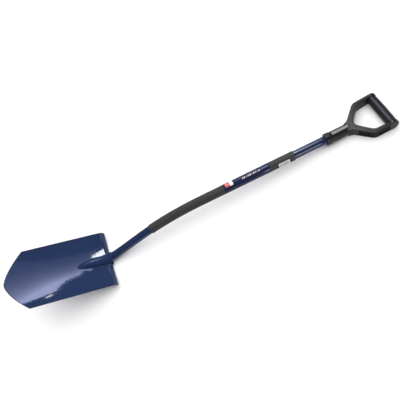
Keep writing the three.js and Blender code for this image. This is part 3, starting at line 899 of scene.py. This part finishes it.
# ---- films on the sleeve ----
def film(name, radius, start, end, first_angle, last_angle, thickness, corner=0.0):
    """A thin wrap on the upper shaft, between two stations and two angles from its top towards -Y."""
    turns = np.radians(np.linspace(last_angle, first_angle, max(8, int(abs(last_angle - first_angle) / 3))))
    edge = corner * (1 - np.cos(np.linspace(0, math.pi / 2, 5))) if corner else np.zeros(1)
    stations = np.concatenate([end - edge, np.linspace(end - corner, start + corner, 30)[1:-1],
                               start + edge[::-1]])
    x, turn = np.meshgrid(stations, turns, indexing="ij")
    if corner:
        lead = np.clip(corner - np.minimum(x - start, end - x), 0, corner)
        pull = (corner - np.sqrt(corner ** 2 - lead ** 2)) / radius
        middle, half = (turns[0] + turns[-1]) / 2, abs(turns[0] - turns[-1]) / 2
        turn = middle + (turn - middle) * (half - pull) / half
    grid = np.stack([x, -radius * np.sin(turn), radius * np.cos(turn)], axis=2)
    return shell(name, SHAFT, grid, thickness, rim_steps=1)


def bars_tree():
    """A row of thin bars of seeded widths, laid round the shaft at a radius."""
    tree = Growth("barcode_bars", Count=20, Length=27.0, Start=0.0, Radius=15.0, First_Angle=0.9, Span=0.8,
                  Thinnest=0.25, Widest=0.9, Thickness=0.08, Seed=7, Ink=None)
    step = tree.math("DIVIDE", tree.given("Length"), tree.given("Count"))
    offset = tree.node("ShaderNodeCombineXYZ", X=step)
    begin = tree.node("ShaderNodeCombineXYZ", X=tree.given("Start"))
    row = tree.node("GeometryNodeMeshLine", Count=tree.given("Count"), Start_Location=begin.outputs[0],
                    Offset=offset.outputs[0])
    points = tree.node("GeometryNodeMeshToPoints", Mesh=row.outputs[0])
    size = tree.node("ShaderNodeCombineXYZ", X=1.0, Y=tree.given("Span"), Z=tree.given("Thickness"))
    bar = tree.node("GeometryNodeMeshCube", Size=size.outputs[0], Vertices_X=2, Vertices_Y=9, Vertices_Z=2)
    chance = tree.node("FunctionNodeRandomValue", {"data_type": "FLOAT"}, Seed=tree.given("Seed"))
    for label, end in (("Thinnest", "Min"), ("Widest", "Max")):
        socket = [s for s in chance.inputs if s.name == end and s.type == "VALUE"][0]
        tree.tree.links.new(tree.given(label), socket)
    width = [s for s in chance.outputs if s.type == "VALUE" and s.enabled][0]
    scale = tree.node("ShaderNodeCombineXYZ", X=width, Y=1.0, Z=1.0)
    placed = tree.node("GeometryNodeInstanceOnPoints", Points=points.outputs[0], Instance=bar.outputs[0],
                       Scale=scale.outputs[0])
    real = tree.node("GeometryNodeRealizeInstances", Geometry=placed.outputs[0])
    spot = tree.node("GeometryNodeInputPosition")
    parts = tree.node("ShaderNodeSeparateXYZ", Vector=spot.outputs[0])
    turn = tree.math("ADD", parts.outputs["Y"], tree.math("ADD", tree.given("First Angle"),
                                                         tree.math("DIVIDE", tree.given("Span"), 2.0)))
    reach = tree.math("ADD", tree.given("Radius"), parts.outputs["Z"])
    wrapped = tree.node("ShaderNodeCombineXYZ", X=parts.outputs["X"],
                        Y=tree.math("MULTIPLY", tree.math("MULTIPLY", reach, -1.0), tree.math("SINE", turn)),
                        Z=tree.math("MULTIPLY", reach, tree.math("COSINE", turn)))
    bent = tree.node("GeometryNodeSetPosition", Geometry=real.outputs[0], Position=wrapped.outputs[0])
    return tree.close(bent.outputs[0], tree.given("Ink"))


# ---- handle ----
ARM_OUTER = [[ARM_ROOT_X, 13, 0], [-99, 17, 6], [-57, 61, 9], [0, HANDLE_HALF_WIDTH, 0]]
ARM_INNER = [[0, HANDLE_HALF_WIDTH - EYE_THICKNESS, 0], [-17, HANDLE_HALF_WIDTH - EYE_THICKNESS, 0],
             [-51, 49, 9], [-85, 8, 6]]
GROOVE = [[-93, 30, 0], [-59, 66, 0], [-12, 70, 0], [-12, HANDLE_HALF_WIDTH - GROOVE_DEPTH - 0.6, 0],
          [-54.6, 57.9, 5], [-86, 25, 0]]
MOULDING_ROUND_STEPS = 8


def lathe_solid(name, profile, axis, sides=96):
    """A closed turned solid in millimetres; profile runs from the axis to the axis."""
    return turned(name, profile, on_axis(np.eye(4), axis), sides, closed=False)


def rod(start, end, radius):
    """The profile of a plain round bar between two stations."""
    return [(start, 0), (start, radius), (end, radius), (end, 0)]


def moved(piece, matrix):
    piece.data.transform(Matrix(matrix.tolist()))
    return piece


def handle_solids():
    """The handle's adding and cutting solids, in the grip's frame and in millimetres."""
    to_grip = np.linalg.inv(GRIP_IN_SHAFT)
    plan = ARM_OUTER + ARM_INNER
    plan = plan + [[x, -y, cut] for x, y, cut in reversed(plan)]
    base = prism("handle_moulding", rounded(plan, MOULDING_ROUND_STEPS), -ARM_HEIGHT / 2, ARM_HEIGHT / 2)
    inner = HANDLE_HALF_WIDTH - EYE_THICKNESS
    adding, cutting = [], []
    socket = [(0, 0, 0), (0, COLLAR_RADIUS, 1.2), (COLLAR_LENGTH, COLLAR_RADIUS, 1.0),
              (COLLAR_LENGTH + 1.2, SOCKET_RADIUS, 0.8), (SOCKET_LENGTH - 20, SOCKET_RADIUS, 6),
              (SOCKET_LENGTH, SOCKET_RADIUS - 3, 1), (SOCKET_LENGTH, 0, 0)]
    in_socket = to_grip @ shift(SOCKET_START, 0, 0)
    adding.append(moved(lathe_solid("socket", rounded(socket, closed=False), "X"), in_socket))
    for side in (1, -1):
        ends = sorted((side * inner, side * HANDLE_HALF_WIDTH))
        eye = [(ends[0], 0, 0), (ends[0], EYE_RADIUS, 1.2), (ends[1], EYE_RADIUS, 2.5), (ends[1], 0, 0)]
        if side < 0:
            eye = [(ends[0], 0, 0), (ends[0], EYE_RADIUS, 2.5), (ends[1], EYE_RADIUS, 1.2), (ends[1], 0, 0)]
        adding.append(lathe_solid("eye", rounded(eye, closed=False), "Y"))
        hole_ends = sorted((side * (inner - 1), side * (inner + SPIGOT_LENGTH + GAP)))
        cutting.append(lathe_solid("spigot_hole", rod(*hole_ends, SPIGOT_RADIUS + GAP), "Y"))
        outline = GROOVE if side > 0 else [[x, -y, cut] for x, y, cut in reversed(GROOVE)]
        for low, high in ((GROOVE_LOW, GROOVE_HIGH), (-GROOVE_HIGH, -GROOVE_LOW)):
            cutting.append(prism("groove", rounded(outline, MOULDING_ROUND_STEPS), low, high))
    cutting.append(moved(lathe_solid("bore", rod(-2, BORE_DEPTH, BORE_RADIUS), "X"), in_socket))
    seat_start, seat_end = BADGE_START - 2, BADGE_START + BADGE_LENGTH + 2
    pad = rounded([[seat_start, -SOCKET_RADIUS, 0], [seat_end, -SOCKET_RADIUS, 0],
                   [seat_end, SOCKET_RADIUS, 0], [seat_start, SOCKET_RADIUS, 0]])
    cutting.append(moved(prism("badge_seat", pad, BADGE_PAD_Z, BADGE_PAD_Z + 6), to_grip))
    shank = rod(-SOCKET_RADIUS - 3, -10, RIVET_SHANK + GAP)
    cutting.append(moved(lathe_solid("rivet_hole", shank, "Z", 32), to_grip @ shift(RIVET_STATION, 0, 0)))
    return base, adding, cutting


def ridges_tree():
    """A row of low rounded ridges across a strip."""
    tree = Growth("badge_ridges", Count=11, Pitch=4.2, Width=6.2, Ridge=0.9, Sides=12, Plastic=None)
    offset = tree.node("ShaderNodeCombineXYZ", X=tree.given("Pitch"))
    row = tree.node("GeometryNodeMeshLine", Count=tree.given("Count"), Offset=offset.outputs[0])
    half = tree.math("MULTIPLY", tree.given("Width"), 0.5)
    start = tree.node("ShaderNodeCombineXYZ", Y=tree.math("MULTIPLY", half, -1.0))
    end = tree.node("ShaderNodeCombineXYZ", Y=half)
    line = tree.node("GeometryNodeCurvePrimitiveLine", Start=start.outputs[0], End=end.outputs[0])
    fine = tree.node("GeometryNodeResampleCurve", {"mode": "COUNT"}, Curve=line.outputs[0], Count=9)
    share = tree.node("GeometryNodeSplineParameter").outputs["Factor"]
    ends = tree.math("MULTIPLY", tree.math("MULTIPLY", share, tree.math("SUBTRACT", 1.0, share)), 4.0)
    radius = tree.math("MULTIPLY", tree.math("POWER", ends, 0.25), tree.given("Ridge"))
    sized = tree.node("GeometryNodeSetCurveRadius", Curve=fine.outputs[0], Radius=radius)
    section = tree.node("GeometryNodeCurvePrimitiveCircle", Resolution=tree.given("Sides"), Radius=1.0)
    ridge = tree.node("GeometryNodeCurveToMesh", Curve=sized.outputs[0], Profile_Curve=section.outputs[0],
                      Fill_Caps=True)
    placed = tree.node("GeometryNodeInstanceOnPoints", Points=row.outputs[0], Instance=ridge.outputs[0])
    return tree.close(placed.outputs[0], tree.given("Plastic"))


# ---- what a user may change ----
def colour(name, description, red, green, blue):
    """A colour setting, with its name, its description and its default."""
    return FloatVectorProperty(name=name, description=description, subtype="COLOR", size=4, min=0, max=1,
                               default=(red, green, blue, 1))


class SpadeBlade(PropertyGroup):
    paint: colour("Paint", "Colour of the enamel", 0.0175, 0.035, 0.094)
    deep_paint: colour("Deep paint", "Colour where the enamel lies thicker", 0.015, 0.03, 0.086)
    gloss: FloatProperty(name="Coat roughness", description="Roughness of the clear coat", default=0.04,
                         min=0, max=1)
    tread_corner: FloatProperty(name="Tread corner",
                                description="Radius of the treads' outer corners, in mm",
                                default=TREAD_CORNER, min=1, max=20)
    frog_taper_start: FloatProperty(name="Frog taper",
                                    description="X where the frog starts to narrow, in mm",
                                    default=-40.0, min=-90, max=0)
    frog_roundness: FloatProperty(name="Frog roundness",
                                  description="2 is a half ellipse, less is more pointed",
                                  default=1.7, min=1, max=4)
    frog_fillet: FloatProperty(name="Frog fillet", description="Depth of the fillet round the frog, in mm",
                               default=6.0, min=0.2, max=10)
    weld_pitch: FloatProperty(name="Weld ripple pitch", description="Spacing of the weld's ripples, in mm",
                              default=2.3, min=0.5, max=6)


class SpadeShaft(PropertyGroup):
    paint: colour("Tube paint", "Colour of the tube's enamel", 0.016, 0.031, 0.095)
    sleeve: colour("Sleeve", "Colour of the plastic sleeve", 0.034, 0.034, 0.037)
    label: colour("Label", "Ground colour of the label", 0.013, 0.018, 0.055)
    # this pale colour paints the label's printed marks and also its painted highlight line
    label_print_and_highlight: colour("Label marks", "Colour of the label's marks", 0.62, 0.6, 0.55)
    label_accent: colour("Label accent", "Colour of every second mark", 0.45, 0.2, 0.14)
    seal: colour("Seal", "Colour of the seal's red half", 0.55, 0.04, 0.04)
    paper: colour("Paper", "Colour of the white paper film", 0.8, 0.8, 0.78)
    bars: IntProperty(name="Bars", description="Number of bars on the barcode", default=20, min=4, max=60)


class SpadeHandle(PropertyGroup):
    plastic: colour("Handle", "Colour of the moulding", 0.009, 0.009, 0.0095)
    grip: colour("Grip", "Colour of the grip bar", 0.01, 0.01, 0.015)
    badge: colour("Badge", "Colour of the badge", 0.16, 0.165, 0.175)
    rivet: colour("Rivet", "Colour of the rivet's plating", 0.6, 0.6, 0.6)
    voxel: FloatProperty(name="Detail", description="Size of the moulding's finest detail, in mm",
                         default=0.9, min=0.5, max=3)
    softness: IntProperty(name="Softness", description="Smoothing passes over the moulding's edges",
                          default=6, min=0, max=30)
    ridges: IntProperty(name="Ridges", description="Number of ridges on the badge", default=11,
                        min=2, max=20)


class SpadeStage(PropertyGroup):
    floor: colour("Floor", "Colour of the floor", 0.95, 0.95, 0.95)
    room: FloatProperty(name="Room light", description="Strength of the light from all round", default=0.12,
                        min=0)
    ceiling: FloatProperty(name="Ceiling panel", description="Peak radiance of the panel behind the blade",
                           default=15.0, min=0)
    fill: FloatProperty(name="Fill", description="Power of the wide light overhead", default=430.0,
                        min=0, unit="POWER")
    glint: FloatProperty(name="Glints", default=20.0, min=0,
                         description="Radiance of the small lights that only show as reflections")
    stripe: FloatProperty(name="Stripes", description="Radiance of the two strips that run along the shaft",
                          default=9.0, min=0)


# ---- operators ----
class SPADE_OT_blade(Operator):
    """Press the blade with its frog and treads."""
    bl_idname = "spade.blade"
    bl_label = "Blade"

    def execute(self, context):
        settings = context.scene.spade_blade
        paint = paint_finish("blade_paint", settings.paint, settings.deep_paint, settings.gloss)
        blade = shell("blade_pressing", TOOL, blade_grid(settings), SHEET)
        finish_piece(paint_with(blade, paint), "blade_paint", "blade")
        plate = shell("rear_plate", TOOL, plate_grid(), SHEET * math.cos(REST_PITCH))
        finish_piece(paint_with(plate, paint), "blade_paint", "frog_plate")
        return {"FINISHED"}


class SPADE_OT_welds(Operator):
    """Run the weld beads over the neck and along the rear plate's flanges."""
    bl_idname = "spade.welds"
    bl_label = "Welds"

    def execute(self, context):
        paint = bpy.data.materials.get("blade_paint")
        if paint is None:
            raise RuntimeError("the welds take the blade's paint, so the blade comes first")
        pitch = context.scene.spade_blade.weld_pitch
        tree = weld_tree()
        x = TREAD_EDGE_X + GAP + 1.6
        z, heading = line_over(x)
        offset = TUBE_RADIUS + 3 * GAP + 1.0
        turns = np.radians(np.linspace(-78, 78, 40))
        neck = [(x, offset * math.sin(a), z + offset * math.cos(a) / math.cos(heading)) for a in turns]
        bead = grow("weld_neck", tree, TOOL, neck, Radius=1.9, Ripple_Pitch=pitch, Paint=paint)
        finish_piece(bead, "blade_paint", "neck_weld")
        for side, label in ((1, "left"), (-1, "right")):
            xs = np.linspace(PLATE_NOSE_X + 8, -28, 60)
            ys = plate_half_width(xs) + GAP + 1.0
            path = np.stack([xs, side * ys, behind_blade(xs, ys) - 1.0], axis=1)
            bead = grow("weld_" + label, tree, TOOL, path, Radius=1.6, Ripple_Pitch=pitch, Paint=paint)
            finish_piece(bead, "blade_paint", "plate_weld_" + label)
        return {"FINISHED"}


class SPADE_OT_shaft(Operator):
    """Bend the tube and pull the plastic sleeve over it."""
    bl_idname = "spade.shaft"
    bl_label = "Shaft"

    def execute(self, context):
        settings = context.scene.spade_shaft
        paint = paint_finish("shaft_paint", settings.paint, [c * 0.7 for c in settings.paint], 0.06)
        inner = TUBE_RADIUS - TUBE_WALL
        run = np.linspace(0, LINE.total, 180)
        outside = [(s, TUBE_RADIUS) for s in run[1:-1]]
        inside = [(s, inner) for s in run[::-1][1:-1]]
        edge = 0.35
        profile = ([(0, TUBE_RADIUS - edge), (edge, TUBE_RADIUS)] + outside
                   + [(LINE.total - edge, TUBE_RADIUS), (LINE.total, TUBE_RADIUS - edge)]
                   + [(LINE.total, inner)] + inside + [(0, inner)])
        tube = turned("shaft_pipe", profile, on_line, 56)
        finish_piece(paint_with(tube, paint), "shaft_paint", "shaft_tube")
        start, end = LINE.distance_of(-SLEEVE_BEFORE_BEND), LINE.distance_of(SLEEVE_AFTER_BEND)
        run = np.linspace(start + 0.8, end - 0.8, 120)
        lip = TUBE_RADIUS + 0.35
        profile = ([(start, lip), (start, SLEEVE_RADIUS - 0.7), (start + 0.25, SLEEVE_RADIUS - 0.2)]
                   + [(s, SLEEVE_RADIUS) for s in run]
                   + [(end - 0.25, SLEEVE_RADIUS - 0.2), (end, SLEEVE_RADIUS - 0.7), (end, lip)]
                   + [(s, lip) for s in run[::-12]])
        sleeve = turned("shaft_grip_sleeve", profile, on_line, 72)
        finish_piece(paint_with(sleeve, sleeve_finish(settings.sleeve)), "sleeve_plastic", "shaft_sleeve")
        return {"FINISHED"}


class SPADE_OT_films(Operator):
    """Stick the label, the seal and the barcode on the sleeve."""
    bl_idname = "spade.films"
    bl_label = "Label and stickers"

    def execute(self, context):
        settings = context.scene.spade_shaft
        on_sleeve = SLEEVE_RADIUS + 0.3
        label = film("label_wrap", on_sleeve, LABEL_START, LABEL_END, -176, 176, 0.22)
        paint_with(label, label_finish(settings.label, settings.label_print_and_highlight, settings.label_accent))
        finish_piece(label, "label_film", "sleeve_label")
        seal = film("label_seal", on_sleeve + 0.25, SEAL_START, SEAL_END, -66, 28, 0.2, 1.5)
        paint_with(seal, seal_finish(settings.seal, settings.paper))
        finish_piece(seal, "seal_film", "seal_sticker")
        code = film("barcode_paper", on_sleeve, BARCODE_START, BARCODE_END, 48, 106, 0.22, 1.5)
        finish_piece(paint_with(code, barcode_finish(settings.paper)), "barcode_film", "barcode_sticker")
        length = BARCODE_END - BARCODE_START - 7
        bars = grow("barcode_bars", bars_tree(), SHAFT, Count=settings.bars, Start=BARCODE_START + 4.0,
                    Length=length, Radius=on_sleeve + 0.01, First_Angle=math.radians(55),
                    Span=math.radians(44), Ink=ink_finish((0.03, 0.03, 0.035)))
        finish_piece(bars, "barcode_film")
        return {"FINISHED"}


class SPADE_OT_handle(Operator):
    """Mould the socket, yoke and arms in one piece."""
    bl_idname = "spade.handle"
    bl_label = "Handle moulding"

    def execute(self, context):
        settings = context.scene.spade_handle
        base, adding, cutting = handle_solids()
        steps = [("BOOLEAN", {"operation": operation, "solver": "EXACT", "object": solid})
                 for operation, solids in (("UNION", adding), ("DIFFERENCE", cutting)) for solid in solids]
        steps.append(("REMESH", {"mode": "VOXEL", "voxel_size": settings.voxel}))
        steps.append(("SMOOTH", {"factor": 0.5, "iterations": settings.softness}))
        moulding = refined(base, GRIP, *steps)
        discard(*adding, *cutting)
        if len(moulding.data.polygons) < 5000:
            raise RuntimeError("the moulding lost its shape in the cutting")
        plastic = moulded_finish("handle_plastic", settings.plastic, GRIP, 0.3)
        finish_piece(paint_with(moulding, plastic), "handle_plastic", "handle_moulding")
        return {"FINISHED"}


class SPADE_OT_grip(Operator):
    """Turn the grip bar with its spigots."""
    bl_idname = "spade.grip"
    bl_label = "Grip bar"

    def execute(self, context):
        settings = context.scene.spade_handle
        shoulder = HANDLE_HALF_WIDTH - EYE_THICKNESS - GAP
        end = shoulder + SPIGOT_LENGTH
        half = [(y, lerp(BAR_RADIUS, BAR_END_RADIUS, (y / shoulder) ** 2.2))
                for y in np.linspace(0, shoulder - 1.2, 24)]
        half += [(shoulder - 0.6, BAR_END_RADIUS - 0.15), (shoulder - 0.15, BAR_END_RADIUS - 0.5),
                 (shoulder, BAR_END_RADIUS - 1), (shoulder, SPIGOT_RADIUS), (end - 0.6, SPIGOT_RADIUS),
                 (end, SPIGOT_RADIUS - 0.6), (end, 0)]
        profile = [(-y, r) for y, r in half[:0:-1]] + half
        bar = turned("grip_roll", profile, on_axis(GRIP, "Y"), 80, closed=False)
        plastic = moulded_finish("grip_plastic", settings.grip, GRIP, 0.36, (0.2, 0.03, 0.2))
        finish_piece(paint_with(bar, plastic), "grip_plastic", "grip_bar")
        return {"FINISHED"}


class SPADE_OT_fittings(Operator):
    """Fit the ridged badge into its seat and set the rivet under the socket."""
    bl_idname = "spade.fittings"
    bl_label = "Badge and rivet"

    def execute(self, context):
        settings = context.scene.spade_handle
        plastic = moulded_finish("badge_plastic", settings.badge, SHAFT, 0.45)
        half = BADGE_WIDTH / 2
        outline = rounded([[BADGE_START, -half, 2.2], [BADGE_START + BADGE_LENGTH, -half, 2.2],
                           [BADGE_START + BADGE_LENGTH, half, 2.2], [BADGE_START, half, 2.2]])
        low = BADGE_PAD_Z + GAP
        strip = prism("badge_strip", outline, low, low + 1.2)
        refined(strip, SHAFT, ("BEVEL", {"width": 0.35, "segments": 3, "limit_method": "ANGLE"}))
        finish_piece(paint_with(strip, plastic), "badge_plastic", "socket_badge")
        pitch = (BADGE_LENGTH - 8) / (settings.ridges - 1)
        first = SHAFT @ shift(BADGE_START + 4, 0, low + 0.9)
        ridges = grow("badge_ridges", ridges_tree(), first, Count=settings.ridges, Pitch=pitch,
                      Width=BADGE_WIDTH - 2.4, Ridge=0.8, Plastic=plastic)
        finish_piece(ridges, "badge_plastic")
        head = -SOCKET_RADIUS - GAP
        dome = [(head - 1.7 * math.sin(a), RIVET_HEAD * math.cos(a) ** 0.8 if a < 1.55 else 0.0)
                for a in np.linspace(0.05, math.pi / 2, 9)]
        dome[-1] = (head - 1.7, 0.0)
        profile = [(-8, 0), (-8, 2.6), (-8.6, 3.2), (-9.3, 3.2), (-9.7, RIVET_SHANK), (head, RIVET_SHANK),
                   (head, RIVET_HEAD - 0.2)] + dome
        on_rivet = on_axis(SHAFT @ shift(RIVET_STATION, 0, 0), "Z")
        rivet = turned("rivet_body", profile, on_rivet, 40, closed=False)
        finish_piece(paint_with(rivet, rivet_finish(settings.rivet)), "rivet_steel", "handle_rivet")
        return {"FINISHED"}


CAMERA_TARGET = (0.0031, 0.0381, 0.0)
CAMERA_DISTANCE = 1.2981
CAMERA_AZIMUTH = math.radians(13.3)
CAMERA_ELEVATION = math.radians(57.65)
CAMERA_ROLL = math.radians(-39.87)
CAMERA_LENS = 37.5
CEILING_HEIGHT = 2.6
CEILING_PEAK_Y = 2.1
CEILING_FADE = 0.42
BY_THE_FROG = (-0.33, 0, 0.06)
ON_UPPER_TUBE = (0.47, 0, 0.03)
CEILING_OUTLINE = ((-0.6, 0.85), (1.45, 0.85), (1.0, 1.97), (0.76, 2.62), (-0.6, 1.29))


class SPADE_OT_stage(Operator):
    """Lay the floor, hang the lights and set the camera."""
    bl_idname = "spade.stage"
    bl_label = "Stage"

    def softbox(self, name, at, target, size, power):
        """A rectangular area light that the camera doesn't see."""
        light = bpy.data.lights.new(name, "AREA")
        light.shape = "RECTANGLE"
        light.size, light.size_y = size
        light.energy = power
        lamp = bpy.data.objects.new(name, light)
        lamp.location = at
        lamp.rotation_euler = (Vector(target) - Vector(at)).to_track_quat("-Z", "Y").to_euler()
        lamp.visible_camera = False
        bpy.context.scene.collection.objects.link(lamp)
        return lamp

    def reflected(self, name, at, target, size, radiance):
        """A rectangular area light that is only seen in the gloss of the tool."""
        lamp = self.softbox(name, at, target, size, math.pi * size[0] * size[1] * radiance)
        lamp.visible_diffuse = False
        return lamp

    def panel(self, name, outline, height, peak_y, fade, strength):
        """A glowing ceiling panel that fades away from its far edge."""
        corners = [(x, y, height) for x, y in outline]
        sheet = mesh_piece(name, corners, [tuple(reversed(range(len(corners))))])
        glow = Finish(name + "_glow")
        glow.nodes.remove(glow.shader)
        emission = glow.nodes.new("ShaderNodeEmission")
        y = glow.split(glow.place)["Y"]
        depth = glow.math("DIVIDE", glow.math("SUBTRACT", glow.math("MINIMUM", y, peak_y), peak_y), fade)
        light = glow.math("MULTIPLY", glow.math("EXPONENT", depth), strength)
        emission.inputs["Color"].default_value = (0.64, 0.67, 1.0, 1.0)
        glow.links.new(light, emission.inputs["Strength"])
        output = [n for n in glow.nodes if n.type == "OUTPUT_MATERIAL"][0]
        glow.links.new(emission.outputs[0], output.inputs["Surface"])
        sheet.visible_camera = False
        sheet.visible_diffuse = False
        paint_with(sheet, glow.material)

    def execute(self, context):
        settings = context.scene.spade_stage
        scene = context.scene
        world = bpy.data.worlds.new("studio")
        world.use_nodes = True
        background = world.node_tree.nodes["Background"]
        background.inputs["Color"].default_value = (1, 1, 1, 1)
        background.inputs["Strength"].default_value = settings.room
        scene.world = world
        scene.view_settings.view_transform = "Standard"

        reach = 6.0
        count = 25
        marks = np.linspace(-reach, reach, count)
        spots = [(x, y, 0.0) for y in marks for x in marks]
        floor = mesh_piece("floor", spots, grid_faces(count, count))
        ground = Finish("floor_paper", Roughness=0.9)
        grain = ground.noise(ground.place, 3.0, 2.0)
        ground.to("Base Color", ground.mix(ground.between(grain, 0.3, 0.7), settings.floor,
                                           [c * 0.985 for c in settings.floor[:3]]))
        paint_with(floor, ground.material)

        self.panel("ceiling_panel", CEILING_OUTLINE, CEILING_HEIGHT, CEILING_PEAK_Y, CEILING_FADE,
                   settings.ceiling)
        fill = self.softbox("overhead_fill", (0.0, 1.2, 3.0), (0, 0.6, 0), (9.0, 8.0), settings.fill)
        fill.visible_glossy = False
        glint, stripe = settings.glint, settings.stripe
        for name, at, target, size, radiance in (
                ("corner_glint", (0.63, 2.68, 2.6), (-0.4, 0, 0.05), (0.08, 0.09), glint),
                ("frog_glint", (0.72, 0.76, 1.58), BY_THE_FROG, (0.3, 0.22), glint * 1.5),
                ("crease_glint", (0.76, 1.12, 1.15), BY_THE_FROG, (0.4, 0.2), glint * 0.6),
                ("upper_stripe", (0.47, 0.16, 0.63), ON_UPPER_TUBE, (0.3, 0.2), stripe),
                ("front_stripe", (0.47, -0.8, 0.2), ON_UPPER_TUBE, (0.3, 0.26), stripe * 1.1)):
            self.reflected(name, at, target, size, radiance)

        aim = Vector(CAMERA_TARGET)
        back = Vector((math.sin(CAMERA_AZIMUTH) * math.cos(CAMERA_ELEVATION),
                       -math.cos(CAMERA_AZIMUTH) * math.cos(CAMERA_ELEVATION), math.sin(CAMERA_ELEVATION)))
        lens = bpy.data.cameras.new("camera")
        lens.lens = CAMERA_LENS
        lens.sensor_width = 36.0
        lens.clip_start, lens.clip_end = 0.05, 50.0
        camera = bpy.data.objects.new("camera", lens)
        scene.collection.objects.link(camera)
        camera.location = aim + back * CAMERA_DISTANCE
        look = (-back).to_track_quat("-Z", "Y").to_matrix() @ Matrix.Rotation(CAMERA_ROLL, 3, "Z")
        camera.rotation_euler = look.to_euler()
        scene.camera = camera
        return {"FINISHED"}


OPERATORS = (SPADE_OT_stage, SPADE_OT_blade, SPADE_OT_welds, SPADE_OT_shaft, SPADE_OT_films,
             SPADE_OT_handle, SPADE_OT_grip, SPADE_OT_fittings)
SETTINGS = {"spade_blade": SpadeBlade, "spade_shaft": SpadeShaft, "spade_handle": SpadeHandle,
            "spade_stage": SpadeStage}


class SPADE_PT_build(Panel):
    """The spade's settings and its pieces, in the order they are built."""
    bl_idname = "SPADE_PT_build"
    bl_label = "Garden Spade"
    bl_space_type = "VIEW_3D"
    bl_region_type = "UI"
    bl_category = "Spade"

    def draw(self, context):
        for name, group in SETTINGS.items():
            box = self.layout.box()
            for key in group.__annotations__:
                box.prop(getattr(context.scene, name), key)
        for operator in OPERATORS:
            self.layout.operator(operator.bl_idname)


def register():
    for group in (*SETTINGS.values(), *OPERATORS, SPADE_PT_build):
        bpy.utils.register_class(group)
    for name, group in SETTINGS.items():
        setattr(bpy.types.Scene, name, PointerProperty(type=group))


def unregister():
    for name in SETTINGS:
        delattr(bpy.types.Scene, name)
    for group in reversed((*SETTINGS.values(), *OPERATORS, SPADE_PT_build)):
        bpy.utils.unregister_class(group)


def main():
    register()
    bpy.ops.spade.stage()
    bpy.ops.spade.blade()
    bpy.ops.spade.welds()
    bpy.ops.spade.shaft()
    bpy.ops.spade.films()
    bpy.ops.spade.handle()
    bpy.ops.spade.grip()
    bpy.ops.spade.fittings()


if __name__ == "__main__":
    main()
